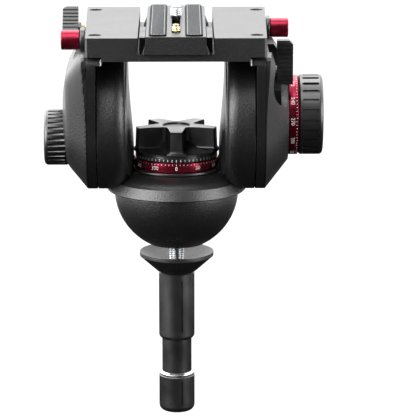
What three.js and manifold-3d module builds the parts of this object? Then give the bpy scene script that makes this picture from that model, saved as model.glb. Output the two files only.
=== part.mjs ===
// Fluid video head with a 100 mm half ball. A pan housing with two yoke arms turns on the
// ball, a bridge cradle tilts between the arms, and a camera plate slides on the bridge.
// Millimetres, +Z up, the lens side towards -Y. The origin is the centre of the half ball.
import * as THREE from 'three';
import { mergeGeometries, mergeVertices } from 'three/addons/utils/BufferGeometryUtils.js';
import Module from 'manifold-3d';

const wasm = await Module();
wasm.setup();

// Gap between pieces that seat on each other, and how far cuts overrun
const SEAT_GAP = 0.3;
const OVERRUN = 2;

// Facets of large, middle and small round work, and steps of a rounded edge
const LARGE_STEPS = 44;
const MIDDLE_STEPS = 24;
const SMALL_STEPS = 12;
const ARC_STEPS = 4;

// Half ball: a turned bowl with a central boss
const BALL_RADIUS = 50;
const BALL_WALL = 6;
const BALL_FLAT_RADIUS = 22;
const BALL_BOSS_RADIUS = 27;
const BALL_BOSS_DROP = 8;
const BALL_ARC_STEPS = 6;
const PAN_SEAM = 0.8;

// Tie-down: stud, clamp cup and long handle
const STUD_RADIUS = 6;
const STUD_REACH = 131;
const TRIPOD_BOWL_WALL = 10;
const CUP_RADIUS = 30;
const CUP_HUB_RADIUS = 16;
const CUP_BASE_DROP = 68.3;
const CUP_RIM = 4;
const SLEEVE_RADIUS = 14.5;
const SLEEVE_END_DROP = 124.9;
const SLEEVE_ROUND = 3.4;
const SLEEVE_CHAMFER = 1;
const NECK_RADIUS = 12;
const NECK_END_DROP = 152.4;
const COLLAR_HEIGHT = 2.6;
const GRIP_END_DROP = 186.4;
const GRIP_ROUND = 5;
const HANDLE_GROOVE_WIDTH = 2.2;
const HANDLE_GROOVE_DEPTH = 0.9;
const HANDLE_GROOVE_END = 6;
const HANDLE_GROOVES = 4;
const HANDLE_GROOVE_TURN = 15.4;

// Pan shaft, bearings and nut
const SHAFT_RADIUS = 9;
const SHAFT_FOOT_DROP = 22;
const SHAFT_TOP = 17.5;
const SHAFT_FLANGE_RADIUS = 25.5;
const SHAFT_FLANGE = 4;
const SHAFT_NUT_RADIUS = 15.4;
const SHAFT_NUT = 7;
const PAN_BEARING_RADIUS = 17;

// Pan housing: flange band, lit cone, and the pocket for the drag
const HOUSING_RADIUS = 56;
const HOUSING_EDGE = 0.7;
const BAND_TOP_RADIUS = 53;
const BAND_TOP = 9.5;
const BAND_EDGE = 0.6;
const CONE_TOP_RADIUS = 40;
const CONE_TOP = 17;
const HOUSING_FLOOR = 6;
const HOUSING_RECESS_DEPTH = 1.5;
const HOUSING_POCKET_RADIUS = 35.2;
const HOUSING_BORE = 12;
const LUG_HALF_WIDTH = 24;
const LUG_BACK = 58;
const LUG_FRONT = 42;
const LUG_BOTTOM = 2.5;
const LUG_TOP = 14.5;
const LUG_CHAMFER = 4;

// Pan drag: cup with a grease groove, rotor with a skirt
const DRAG_CUP_INNER = 19.8;
const DRAG_CUP_HEIGHT = 8.7;
const DRAG_GROOVE_INNER = 24.5;
const DRAG_GROOVE_OUTER = 29;
const DRAG_GROOVE_FLOOR = 1.7;
const DRAG_FLUID_GAP = 1;
const ROTOR_RADIUS = 30;
const ROTOR_DISC = 2.4;
const ROTOR_SKIRT = 1.8;

// Rings around the pan axis and the pan drag knob
const RING_BORE = 31;
const INDEX_RING_RADIUS = 37.5;
const INDEX_RING = 2.1;
const RED_RING_RADIUS = 34.3;
const RED_RING = 7.5;
const RED_RING_EDGE = 0.6;
const SCALE_RING_RADIUS = 33;
const SCALE_RING = 4.7;
const SCALE_RING_BORE = 22;
const SPIGOT_WALL = 3.6;
const SPIGOT_DEPTH = 6.2;
const KNOB_RADIUS = 33.4;
const KNOB_RECESS_RADIUS = 14.9;
const KNOB_SKIRT_RADIUS = 34.4;
const KNOB_HEIGHT = 20.1;
const KNOB_ARMS = 5;
const KNOB_DISH_RADIUS = 10.8;
const KNOB_DISH_DEPTH = 2;
const KNOB_SWEEP_GAP = 0.6;
const ARM_ANGLE_SHARES = [-0.5, -0.463, -0.43, -0.4, -0.376, -0.1125, 0, 0.1125, 0.376, 0.4, 0.43, 0.463];
const ARM_REACH_SHARES = [0, 0.006, 0.019, 0.038, 0.07, 1, 1, 1, 0.07, 0.038, 0.019, 0.006];
const CROWN_RADIUS_SHARES = [0.35, 0.72, 0.96, 0.985, 1];
const CROWN_HEIGHT_SHARES = [1, 0.995, 0.98, 0.95, 0.3];
const SKIRT_RADIUS_SHARES = [1, 1, 0.9, 0.76, 0.6, 0.51, 0.455];
const SKIRT_HEIGHT_SHARES = [0, 0.06, 0.11, 0.15, 0.21, 0.29, 0.43];

// Yoke arms: discs about the tilt axis with a rounded inner edge and a web to the housing
const TILT_HEIGHT = 60.8;
const ARM_INNER = 39;
const ARM_OUTER = 62.7;
const ARM_RADIUS = 59.6;
const ARM_EDGE = 0.6;
const ARM_PAD_RADIUS = 51.6;
const ARM_STEP = 1.2;
const ARM_ROUND_DROP = 6;
const ARM_ROUND_WIDTH = 9.3;
const WEB_HALF_WIDTH = 33;
const WEB_BOTTOM_REACH = 33.9;
const WEB_BACK = 44;
const WEB_POINTS = 20;
const WEB_HEIGHT_SHARES = [-0.96, -0.62, -0.3, 0.1, 0.5, 0.92];
const WEB_BULGE_SHARES = [1, 1, 0.86, 0.5, 0.2, 0];
const ARM_SLOT_WIDTH = 2;
const ARM_SLOT_LENGTH = 6.5;
const ARM_SLOT_HEIGHT = 79;
const ARM_SLOT_PLACE = -24;

// Tilt bearings, axles and what turns on them
const TILT_BEARING_RADIUS = 22;
const TILT_BEARING = 11.4;
const BEARING_SEAT = 48;
const AXLE_RADIUS = 12;
const AXLE_FLANGE_RADIUS = 20;
const AXLE_FLANGE = 3;
const AXLE_NOSE = 48.6;
const HUB_FLANGE_RADIUS = 28;
const HUB_FLANGE = 3;
const HUB_BORE = 14;
const STATOR_RADIUS = 21.5;
const COUNTER_HUB_RADIUS = 17;
const HUB_END = 79.5;
const ROTOR_CUP_RADIUS = 33;
const ROTOR_CUP_BORE = 23;
const ROTOR_CUP_END = 83.5;
const ROTOR_CUP_FLOOR = 3;
const SPRING_BORE = 18;
const SPRING_RADIUS = 33;
const SPRING_LEAVES = 2;
const SPRING_GROOVE_DEPTH = 3;
const SPRING_GROOVE_SHARE = 0.3;

// Cradle sides: plates with fan-shaped tops beside the arms, measured from the tilt axis
const SIDE_SEAM = 0.6;
const SIDE_PLATE = 6.7;
const SIDE_RADIUS = 59.6;
const SIDE_TOP = 59.7;
const FAN_HALF = 74;
const FAN_SHARPNESS = 14;
const OUTLINE_STEPS = 44;
const SIDE_BORE = 29;
const GUSSET_INNER = 57.8;
const GUSSET_HEIGHT = 7.8;
const GUSSET_START = 58;

// Dome cover on the left, drag housing on the right
const DOME_DEPTH = 20.7;
const DOME_TIP_RADIUS = 12;
const DOME_LEVEL_SHARES = [0, 0, 0.2, 0.4, 0.52, 0.68, 0.84, 1];
const DOME_LOW_SHARES = [0, 0.04, 0.42, 0.79, 0.87, 0.935, 0.98, 1];
const DOME_HIGH_SHARES = [0, 0.4, 0.64, 0.82, 0.88, 0.94, 0.98, 1];
const DOME_CAVITY_RADIUS = 36;
const HOUSING_DEPTH = 19.1;
const BOSS_RADIUS = 36.3;
const HOUSING_LEVEL_SHARES = [0, 0, 0.25, 0.5, 0.75, 0.93, 1];
const HOUSING_LOW_SHARES = [0, 0.04, 0.28, 0.52, 0.76, 0.93, 1];
const HOUSING_HIGH_SHARES = [0, 0.4, 0.62, 0.78, 0.89, 0.96, 1];
const CAVITY_FLANGE_ROOM = 0.6;
const CAVITY_RADIUS = 34.5;
const KNOB_SEAT_DEPTH = 4.4;

// Platform: the bridge over both sides, measured from the tilt axis
const PLATFORM_TOP = 75.1;
const PLATFORM_SLAB = 15.1;
const PLATFORM_RIB_DROP = 3.3;
const PLATFORM_HALF_LENGTH = 80;
const PLATFORM_FRONT_HALF = 70.3;
const PLATFORM_BACK_HALF = 73.2;
const PLATFORM_CORNER = 1.6;
const RIB_HALF = 38;
const LIP_HALF = 57.4;
const LIP_START = 63;
const CHANNEL_HALF = 29.7;
const CHANNEL_DEPTH = 12.5;
const CORNER_SCREW_FRONT = [63, -64.5];
const CORNER_SCREW_BACK = [65.8, 64.5];
const CORNER_SCREW_RADIUS = 2.4;
const CORNER_SCREW_HEAD_RADIUS = 4.7;
const CORNER_SCREW_HEAD = 3;
const CORNER_SCREW_SINK = 1.4;
const CORNER_SCREW_LENGTH = 17;
const CORNER_BORE_RADIUS = 5.2;

// Sliding plate, jaws, pads and camera screws
const PLATE_RISE = 2;
const PLATE_HALF = 23.4;
const PLATE_FOOT_HALF = 26.6;
const PLATE_FLANK = 8;
const PLATE_FRONT = -86;
const PLATE_BACK = 74.5;
const PLATE_CHAMFER = 3;
const PLATE_WEB = 6.7;
const GROOVE_HALF = 9.2;
const GROOVE_END_WALL = 12;
const SLOT_HALF = 3.35;
const SLOT_FRONT = -66;
const SLOT_BACK = 26;
const KEYHOLE_RADIUS = 5.4;
const JAW_OUTER = 28.4;
const JAW_GAP = 0.35;
const JAW_FRONT = -79.5;
const JAW_BACK = -26;
const JAW_RISE = 0.5;
const PAD_INNER = 7.6;
const PAD_WIDTH = 13;
const PAD_MARGIN = 2.6;
const PAD_CORNER = 3;
const PAD_THICK = 1.5;
const PAD_SINK = 0.6;
const LARGE_SCREW_RADIUS = 4.76;
const LARGE_SCREW_RISE = 8;
const LARGE_SCREW_PLACE = 18;
const LARGE_HEAD_RADIUS = 7.4;
const LARGE_NECK_RADIUS = 3;
const SMALL_SCREW_RADIUS = 3.17;
const SMALL_SCREW_RISE = 6;
const SMALL_SCREW_PLACE = -61;
const SMALL_HEAD_RADIUS = 5.6;
const SMALL_NECK_RADIUS = 2.5;
const SCREW_HEAD = 3.6;
const SCREW_CHAMFER = 0.7;
const CARRIAGE = 2.4;
const CARRIAGE_HALF = 7.8;

// Tilt ring and tilt drag knob
const TILT_RING = 7.6;
const TILT_RING_RADIUS = 32.2;
const TILT_RING_BORE = 27;
const TILT_KNOB_RADIUS = 32.1;
const TILT_KNOB = 19.7;
const TILT_KNOB_ROUND = 3;
const TILT_KNOB_FLUTES = 24;
const TILT_FLUTE_WIDTH = 2.3;
const TILT_FLUTE_DEPTH = 1.3;
const TILT_DISH_RADIUS = 20.4;
const TILT_DISH_DEPTH = 1.6;
const KNOB_SHAFT_RADIUS = 6;

// Counterbalance knob
const COUNTER_KNOB_RADIUS = 22.3;
const COUNTER_KNOB = 19.2;
const COUNTER_KNOB_DROP = 18.5;
const COUNTER_KNOB_ROUND = 3.2;
const COUNTER_KNOB_FLUTES = 30;
const COUNTER_FLUTE_WIDTH = 1.6;
const COUNTER_FLUTE_DEPTH = 0.9;
const COUNTER_SEAT_CLEAR = 0.6;

// Red buttons with their bezels
const BUTTON_RADIUS = 7.8;
const BUTTON_LENGTH = 15;
const BUTTON_START = 75.6;
const BUTTON_EDGE = 0.7;
const BUTTON_STEM_RADIUS = 3;
const BUTTON_STEM = 12;
const BUTTON_HEIGHT = 66.6;
const LEFT_BUTTON_PLACE = -35;
const RIGHT_BUTTON_PLACE = 25;
const BEZEL_WALL = 1.6;
const BEZEL_GAP = 0.4;
const BUTTON_TRAVEL = 3;
const BUTTON_POCKET_FLOOR = 71.2;

// Clamp levers with ribbed grips
const LEVER_WIDTH = 12.6;
const LEVER_HALF_DEPTH = 5.2;
const LEVER_RIB = 3.4;
const LEVER_RIB_DEPTH = 0.9;
const LEVER_RIB_LAND_SHARE = 0.6;
const LEVER_START = 79.6;
const LEVER_UP = 25.7;
const LEVER_DOWN = 9.2;
const LEVER_CHAMFER = 3;
const LEVER_HUB_RADIUS = 5;
const LEVER_HUB_START = 77;
const LEVER_SWEEP_GAP = 1.8;
const NUT_RADIUS = 4.4;
const NUT_START = 74;
const LEVER_STEM_RADIUS = 2.6;
const LEVER_STEM_END = 64;
const TILT_LEVER_PLACE = -35;
const TILT_LEVER_HEIGHT = 40.7;
const CLAMP_LEVER_PLACE = 38;
const CLAMP_LEVER_HEIGHT = 64.2;
const CLAMP_LEVER_UP = 18.7;
const CLAMP_LEVER_LEAN = -45;
const LEVER_POCKET_FLOOR = 72.6;

// Rosettes for pan bars, at the rear of both sides
const ROSETTE_PLACE = 50;
const ROSETTE_HEIGHT = 28;
const ROSETTE_BOSS_RADIUS = 14;
const ROSETTE_BOSS_END = 84;
const ROSETTE_RADIUS = 12.6;
const ROSETTE_DISC = 2;
const ROSETTE_TEETH = 24;
const ROSETTE_TOOTH = 1.1;
const ROSETTE_BORE = 4;
const ROSETTE_LAND = 6.4;

// Bubble level and pan lock on the rear lug
const LEVEL_RADIUS = 8;
const LEVEL_HEIGHT = 6;
const LEVEL_SINK = 4;
const LEVEL_PLACE = [-12, 49.5];
const LEVEL_RIM = 1.4;
const LEVEL_DISH = 0.8;
const LOCK_PLACE = 12;
const LOCK_HEIGHT = 8.5;
const LOCK_STEM_RADIUS = 2.6;
const LOCK_STEM = 12;
const LOCK_NUT_RADIUS = 4.4;
const LOCK_NUT = 3.4;
const LOCK_GRIP_WIDTH = 7.5;
const LOCK_GRIP_UP = 15.3;
const LOCK_GRIP_DOWN = 5.1;
const LOCK_RIB = 2.55;
const LOCK_HALF_DEPTH = 4;

const QUARTER_TURN = Math.PI / 2;
const FULL_TURN = Math.PI * 2;
const radians = THREE.MathUtils.degToRad;

// A closed mesh becomes a solid: shared points are merged, flat faces dropped, faces turned out
function asSolid(geometry) {
  const bare = geometry.clone();
  bare.deleteAttribute('normal');
  bare.deleteAttribute('uv');
  const welded = mergeVertices(bare);
  const points = welded.getAttribute('position');
  const corners = welded.getIndex().array;
  const [a, b, c] = [new THREE.Vector3(), new THREE.Vector3(), new THREE.Vector3()];
  const faces = [];
  let volume = 0;
  for (let i = 0; i < corners.length; i += 3) {
    const face = [corners[i], corners[i + 1], corners[i + 2]];
    if (new Set(face).size < 3) continue;
    faces.push(face);
    a.fromBufferAttribute(points, face[0]);
    b.fromBufferAttribute(points, face[1]);
    c.fromBufferAttribute(points, face[2]);
    volume += a.dot(b.cross(c));
  }
  if (volume < 0) faces.forEach((face) => face.reverse());
  const mesh = new wasm.Mesh({
    numProp: 3,
    vertProperties: new Float32Array(points.array),
    triVerts: new Uint32Array(faces.flat()),
  });
  return new wasm.Manifold(mesh);
}

function asGeometry(solid) {
  const mesh = solid.getMesh();
  const geometry = new THREE.BufferGeometry();
  geometry.setAttribute('position', new THREE.BufferAttribute(mesh.vertProperties, 3));
  geometry.setIndex(new THREE.BufferAttribute(mesh.triVerts, 1));
  geometry.computeVertexNormals();
  return geometry;
}

function join(...pieces) {
  return asGeometry(pieces.map(asSolid).reduce((sum, piece) => sum.add(piece)));
}

function cut(body, ...tools) {
  return asGeometry(tools.map(asSolid).reduce((rest, tool) => rest.subtract(tool), asSolid(body)));
}

function common(first, second) {
  return asGeometry(asSolid(first).intersect(asSolid(second)));
}

function moved(geometry, x, y, z) {
  return geometry.clone().translate(x, y, z);
}

// The same piece on the other side of the head
function mirrored(geometry) {
  return asGeometry(asSolid(geometry.clone().scale(-1, 1, 1)));
}

// Points of an arc from one angle to another, about a centre
function arc(centreX, centreY, radius, from, to, steps) {
  return Array.from({ length: steps + 1 }, (_, i) => {
    const angle = from + ((to - from) * i) / steps;
    return [centreX + radius * Math.cos(angle), centreY + radius * Math.sin(angle)];
  });
}

// Turned work about Z from a profile of radius and height
function turned(profile, steps) {
  const points = profile.map(([radius, height]) => new THREE.Vector2(radius, height));
  return new THREE.LatheGeometry(points, steps).rotateX(QUARTER_TURN);
}

// Turned work about X from a profile of radius and distance from the middle of the head
function turnedAcross(profile, steps, side) {
  return turned(profile, steps).rotateY(side * QUARTER_TURN);
}

// A tube from one height to another, and the same about X
function tubeProfile(inner, outer, low, high) {
  return [[inner, low], [outer, low], [outer, high], [inner, high], [inner, low]];
}

function rodProfile(radius, low, high) {
  return [[0, low], [radius, low], [radius, high], [0, high]];
}

function rod(radius, low, high, steps) {
  return turned(rodProfile(radius, low, high), steps);
}

function rodAcross(radius, near, far, steps, side) {
  return turnedAcross(rodProfile(radius, near, far), steps, side);
}

// A block between two corners
function block(low, high) {
  const size = high.map((value, i) => value - low[i]);
  const middle = high.map((value, i) => (value + low[i]) / 2);
  return new THREE.BoxGeometry(...size).translate(...middle);
}

// An outline of points, extruded along Z from one height to another
function prism(outline, low, high) {
  const shape = new THREE.Shape(outline.map(([x, y]) => new THREE.Vector2(x, y)));
  const options = { depth: high - low, bevelEnabled: false };
  return new THREE.ExtrudeGeometry(shape, options).translate(0, 0, low);
}

// An outline of Y and Z, extruded across the head from one distance to another
function prismAcross(outline, near, far) {
  const turn = new THREE.Matrix4().makeBasis(
    new THREE.Vector3(0, 1, 0),
    new THREE.Vector3(0, 0, 1),
    new THREE.Vector3(1, 0, 0),
  );
  return prism(outline, near, far).applyMatrix4(turn);
}

// An outline of X and Z, extruded along Y from the front to the back
function prismAlong(outline, front, back) {
  const turn = new THREE.Matrix4().makeBasis(
    new THREE.Vector3(1, 0, 0),
    new THREE.Vector3(0, 0, 1),
    new THREE.Vector3(0, -1, 0),
  );
  return prism(outline, -back, -front).applyMatrix4(turn);
}

// Rings of points skinned one after another, closed by a fan at each end
function lofted(rings) {
  const count = rings[0].length;
  const points = rings.flat();
  const faces = [];
  for (let ring = 0; ring + 1 < rings.length; ring += 1) {
    for (let i = 0; i < count; i += 1) {
      const here = ring * count + i;
      const next = ring * count + ((i + 1) % count);
      faces.push(here, next, next + count, here, next + count, here + count);
    }
  }
  [0, rings.length - 1].forEach((ring) => {
    const middle = points.length;
    const sum = rings[ring].reduce((total, point) => total.add(point), new THREE.Vector3());
    points.push(sum.divideScalar(count));
    for (let i = 0; i < count; i += 1) {
      const edge = [ring * count + i, ring * count + ((i + 1) % count)];
      if (ring === 0) edge.reverse();
      faces.push(middle, ...edge);
    }
  });
  const geometry = new THREE.BufferGeometry().setFromPoints(points);
  geometry.setIndex(faces);
  return geometry;
}

// Copies of a cutter, turned evenly about Z, as one mesh of separate bodies
function aroundZ(geometry, count, start = 0) {
  const copies = Array.from({ length: count }, (_, i) => (
    geometry.clone().rotateZ(start + (FULL_TURN * i) / count)
  ));
  return mergeGeometries(copies);
}

function mix(from, to, share) {
  return from + (to - from) * share;
}

// Heights worked out along the pan axis
const ballBossTop = -BALL_BOSS_DROP;
const shaftFlangeBottom = ballBossTop + SEAT_GAP;
const shaftFlangeTop = shaftFlangeBottom + SHAFT_FLANGE;
const housingBottom = PAN_SEAM / 2;
const housingRecessTop = housingBottom + HOUSING_RECESS_DEPTH;
const indexRingBottom = CONE_TOP + SEAT_GAP;
const indexRingTop = indexRingBottom + INDEX_RING;
const redRingBottom = indexRingTop + SEAT_GAP;
const redRingTop = redRingBottom + RED_RING;
const scaleRingBottom = redRingTop + SEAT_GAP;
const scaleRingTop = scaleRingBottom + SCALE_RING;
const knobBottom = scaleRingTop + SEAT_GAP;
const knobTop = knobBottom + KNOB_HEIGHT;

// Places worked out across the head, from the middle outwards
const sideInner = ARM_OUTER + SIDE_SEAM;
const sideOuter = sideInner + SIDE_PLATE;
const coverStart = sideOuter + SEAT_GAP;
const domeEnd = coverStart + DOME_DEPTH;
const bossEnd = coverStart + HOUSING_DEPTH;
const hubStart = ARM_OUTER + SEAT_GAP;
const bezelRadius = BUTTON_RADIUS + BEZEL_GAP + BEZEL_WALL;
const domeFlangeStart = HUB_END + SEAT_GAP + CAVITY_FLANGE_ROOM;
const housingFlangeStart = ROTOR_CUP_END + SEAT_GAP;

// Heights worked out on the bridge, from the tilt axis
const slabBottom = PLATFORM_TOP - PLATFORM_SLAB;
const ribBottom = slabBottom - PLATFORM_RIB_DROP;
const channelFloor = PLATFORM_TOP - CHANNEL_DEPTH;
const plateBottom = channelFloor + SEAT_GAP;
const plateTop = PLATFORM_TOP + PLATE_RISE;

function halfBall() {
  const rim = Math.asin(housingBottom / BALL_RADIUS);
  const flat = Math.acos(BALL_FLAT_RADIUS / BALL_RADIUS);
  const innerRadius = BALL_RADIUS - BALL_WALL;
  const innerRim = Math.asin(housingBottom / innerRadius);
  const innerFoot = Math.acos(BALL_BOSS_RADIUS / innerRadius);
  const outside = arc(0, 0, BALL_RADIUS, -rim, -flat, BALL_ARC_STEPS);
  const inside = arc(0, 0, innerRadius, -innerFoot, -innerRim, BALL_ARC_STEPS / 2);
  const studBore = STUD_RADIUS + SEAT_GAP;
  const shaftBore = SHAFT_RADIUS + SEAT_GAP;
  const boreStep = -SHAFT_FOOT_DROP - SEAT_GAP;
  return turned([
    ...outside,
    [studBore, outside[BALL_ARC_STEPS][1]],
    [studBore, boreStep],
    [shaftBore, boreStep],
    [shaftBore, ballBossTop],
    [BALL_BOSS_RADIUS, ballBossTop],
    ...inside,
    outside[0],
  ], LARGE_STEPS);
}

function panShaft() {
  return turned([
    [0, -SHAFT_FOOT_DROP],
    [SHAFT_RADIUS, -SHAFT_FOOT_DROP],
    [SHAFT_RADIUS, shaftFlangeBottom],
    [SHAFT_FLANGE_RADIUS, shaftFlangeBottom],
    [SHAFT_FLANGE_RADIUS, shaftFlangeTop],
    [SHAFT_RADIUS, shaftFlangeTop],
    [SHAFT_RADIUS, SHAFT_TOP],
    [0, SHAFT_TOP],
  ], MIDDLE_STEPS);
}

function panBearing() {
  const low = shaftFlangeTop + SEAT_GAP;
  const high = housingRecessTop - SEAT_GAP;
  return turned(tubeProfile(SHAFT_RADIUS + SEAT_GAP, PAN_BEARING_RADIUS, low, high), MIDDLE_STEPS);
}

function shaftNut() {
  const low = HOUSING_FLOOR + SEAT_GAP;
  const nut = rod(SHAFT_NUT_RADIUS, low, low + SHAFT_NUT, 6);
  return cut(nut, rod(SHAFT_RADIUS + SEAT_GAP, low - OVERRUN, low + SHAFT_NUT + OVERRUN, MIDDLE_STEPS));
}

function dragCup() {
  const low = HOUSING_FLOOR + SEAT_GAP;
  const high = low + DRAG_CUP_HEIGHT;
  const outer = HOUSING_POCKET_RADIUS - SEAT_GAP;
  return turned([
    [DRAG_CUP_INNER, low],
    [outer, low],
    [outer, high],
    [DRAG_GROOVE_OUTER, high],
    [DRAG_GROOVE_OUTER, low + DRAG_GROOVE_FLOOR],
    [DRAG_GROOVE_INNER, low + DRAG_GROOVE_FLOOR],
    [DRAG_GROOVE_INNER, high],
    [DRAG_CUP_INNER, high],
    [DRAG_CUP_INNER, low],
  ], MIDDLE_STEPS);
}

function dragRotor() {
  const cupFloor = HOUSING_FLOOR + SEAT_GAP + DRAG_GROOVE_FLOOR;
  const low = HOUSING_FLOOR + SEAT_GAP + DRAG_CUP_HEIGHT + DRAG_FLUID_GAP;
  const middle = (DRAG_GROOVE_INNER + DRAG_GROOVE_OUTER) / 2;
  const bore = SHAFT_RADIUS + SEAT_GAP;
  return turned([
    [bore, low],
    [middle - ROTOR_SKIRT / 2, low],
    [middle - ROTOR_SKIRT / 2, cupFloor + DRAG_FLUID_GAP],
    [middle + ROTOR_SKIRT / 2, cupFloor + DRAG_FLUID_GAP],
    [middle + ROTOR_SKIRT / 2, low],
    [ROTOR_RADIUS, low],
    [ROTOR_RADIUS, low + ROTOR_DISC],
    [bore, low + ROTOR_DISC],
    [bore, low],
  ], MIDDLE_STEPS);
}

function tieDownStud() {
  return rod(STUD_RADIUS, -STUD_REACH, -SHAFT_FOOT_DROP - SEAT_GAP * 2, SMALL_STEPS);
}

function clampCup() {
  const cupRadius = BALL_RADIUS + TRIPOD_BOWL_WALL;
  const bore = STUD_RADIUS + SEAT_GAP;
  const seat = arc(0, 0, cupRadius, -Math.acos(CUP_RADIUS / cupRadius), -Math.acos(bore / cupRadius), ARC_STEPS);
  return turned([
    ...seat,
    [bore, -CUP_BASE_DROP],
    [CUP_HUB_RADIUS, -CUP_BASE_DROP],
    [CUP_RADIUS, seat[0][1] - CUP_RIM],
    seat[0],
  ], MIDDLE_STEPS);
}

// Four long grooves are milled into the handle
function handleGrooves(radius, low, high) {
  const groove = block(
    [radius - HANDLE_GROOVE_DEPTH, -HANDLE_GROOVE_WIDTH / 2, low],
    [radius + OVERRUN, HANDLE_GROOVE_WIDTH / 2, high],
  );
  return aroundZ(groove, HANDLE_GROOVES, radians(HANDLE_GROOVE_TURN) - QUARTER_TURN);
}

function handleSleeve() {
  const bore = STUD_RADIUS + SEAT_GAP;
  const top = -CUP_BASE_DROP - SEAT_GAP;
  const round = arc(
    SLEEVE_RADIUS - SLEEVE_ROUND, -SLEEVE_END_DROP + SLEEVE_ROUND, SLEEVE_ROUND, 0, -QUARTER_TURN * 0.8, ARC_STEPS,
  );
  const sleeve = turned([
    [bore, top],
    [SLEEVE_RADIUS - SLEEVE_CHAMFER, top],
    [SLEEVE_RADIUS, top - SLEEVE_CHAMFER],
    ...round,
    [NECK_RADIUS, -SLEEVE_END_DROP],
    [NECK_RADIUS, -NECK_END_DROP],
    [bore, -NECK_END_DROP],
    [bore, top],
  ], MIDDLE_STEPS);
  const low = -SLEEVE_END_DROP + HANDLE_GROOVE_END;
  return cut(sleeve, handleGrooves(SLEEVE_RADIUS, low, top - HANDLE_GROOVE_END));
}

function handleCollar() {
  const top = -NECK_END_DROP - SEAT_GAP;
  return turned([
    [STUD_RADIUS, top],
    [NECK_RADIUS, top],
    [SLEEVE_RADIUS - SLEEVE_CHAMFER / 2, top - COLLAR_HEIGHT + SLEEVE_CHAMFER],
    [SLEEVE_RADIUS - SLEEVE_CHAMFER / 2, top - COLLAR_HEIGHT],
    [STUD_RADIUS, top - COLLAR_HEIGHT],
    [STUD_RADIUS, top],
  ], MIDDLE_STEPS);
}

function handleGrip() {
  const top = -NECK_END_DROP - SEAT_GAP * 2 - COLLAR_HEIGHT;
  const round = arc(SLEEVE_RADIUS - GRIP_ROUND, -GRIP_END_DROP + GRIP_ROUND, GRIP_ROUND, 0, -QUARTER_TURN, ARC_STEPS);
  const grip = turned([
    [0, top],
    [SLEEVE_RADIUS - SLEEVE_CHAMFER / 2, top],
    [SLEEVE_RADIUS, top - SLEEVE_CHAMFER],
    ...round,
    [0, -GRIP_END_DROP],
  ], MIDDLE_STEPS);
  const low = -GRIP_END_DROP + HANDLE_GROOVE_END;
  return cut(grip, handleGrooves(SLEEVE_RADIUS, low, top - HANDLE_GROOVE_END / 2));
}

function panHousing() {
  const recess = PAN_BEARING_RADIUS + SEAT_GAP;
  const body = turned([
    [recess, housingBottom],
    [HOUSING_RADIUS - HOUSING_EDGE, housingBottom],
    [HOUSING_RADIUS, housingBottom + HOUSING_EDGE],
    [BAND_TOP_RADIUS, BAND_TOP],
    [BAND_TOP_RADIUS - BAND_EDGE, BAND_TOP + BAND_EDGE / 2],
    [CONE_TOP_RADIUS, CONE_TOP],
    [HOUSING_POCKET_RADIUS, CONE_TOP],
    [HOUSING_POCKET_RADIUS, HOUSING_FLOOR],
    [HOUSING_BORE, HOUSING_FLOOR],
    [HOUSING_BORE, housingRecessTop],
    [recess, housingRecessTop],
    [recess, housingBottom],
  ], LARGE_STEPS);
  const lug = prism([
    [-LUG_HALF_WIDTH, LUG_FRONT],
    [LUG_HALF_WIDTH, LUG_FRONT],
    [LUG_HALF_WIDTH, LUG_BACK - LUG_CHAMFER],
    [LUG_HALF_WIDTH - LUG_CHAMFER, LUG_BACK],
    [-LUG_HALF_WIDTH + LUG_CHAMFER, LUG_BACK],
    [-LUG_HALF_WIDTH, LUG_BACK - LUG_CHAMFER],
  ], LUG_BOTTOM, LUG_TOP);
  const levelBore = rod(LEVEL_RADIUS + SEAT_GAP, LUG_TOP - LEVEL_SINK, CONE_TOP + OVERRUN, MIDDLE_STEPS);
  const lockBore = rod(LOCK_STEM_RADIUS + SEAT_GAP, 0, LOCK_STEM + OVERRUN, SMALL_STEPS).rotateX(-QUARTER_TURN);
  return cut(
    join(body, lug),
    moved(levelBore, ...LEVEL_PLACE, 0),
    moved(lockBore, LOCK_PLACE, LUG_BACK - LOCK_STEM, LOCK_HEIGHT),
  );
}

function bubbleLevel() {
  const low = LUG_TOP - LEVEL_SINK + SEAT_GAP;
  const high = low + LEVEL_HEIGHT;
  return moved(turned([
    [0, low],
    [LEVEL_RADIUS, low],
    [LEVEL_RADIUS, high],
    [LEVEL_RADIUS - LEVEL_RIM, high],
    [LEVEL_RADIUS - LEVEL_RIM, high - LEVEL_DISH],
    [0, high - LEVEL_DISH / 2],
  ], MIDDLE_STEPS), ...LEVEL_PLACE, 0);
}

// Everything that turns inside the arms, swept about the pan axis
function panClearance() {
  const sweep = KNOB_SKIRT_RADIUS + KNOB_SWEEP_GAP;
  const ring = INDEX_RING_RADIUS + SEAT_GAP;
  return turned([
    [0, -OVERRUN],
    [HOUSING_RADIUS + SEAT_GAP, -OVERRUN],
    [HOUSING_RADIUS + SEAT_GAP, housingBottom + HOUSING_EDGE],
    [BAND_TOP_RADIUS + SEAT_GAP, BAND_TOP + SEAT_GAP],
    [CONE_TOP_RADIUS + SEAT_GAP / 2, CONE_TOP + SEAT_GAP],
    [ring, CONE_TOP + SEAT_GAP],
    [ring, indexRingTop + SEAT_GAP],
    [sweep, indexRingTop + SEAT_GAP],
    [sweep, knobTop + OVERRUN],
    [0, knobTop + OVERRUN],
  ], LARGE_STEPS);
}

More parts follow.
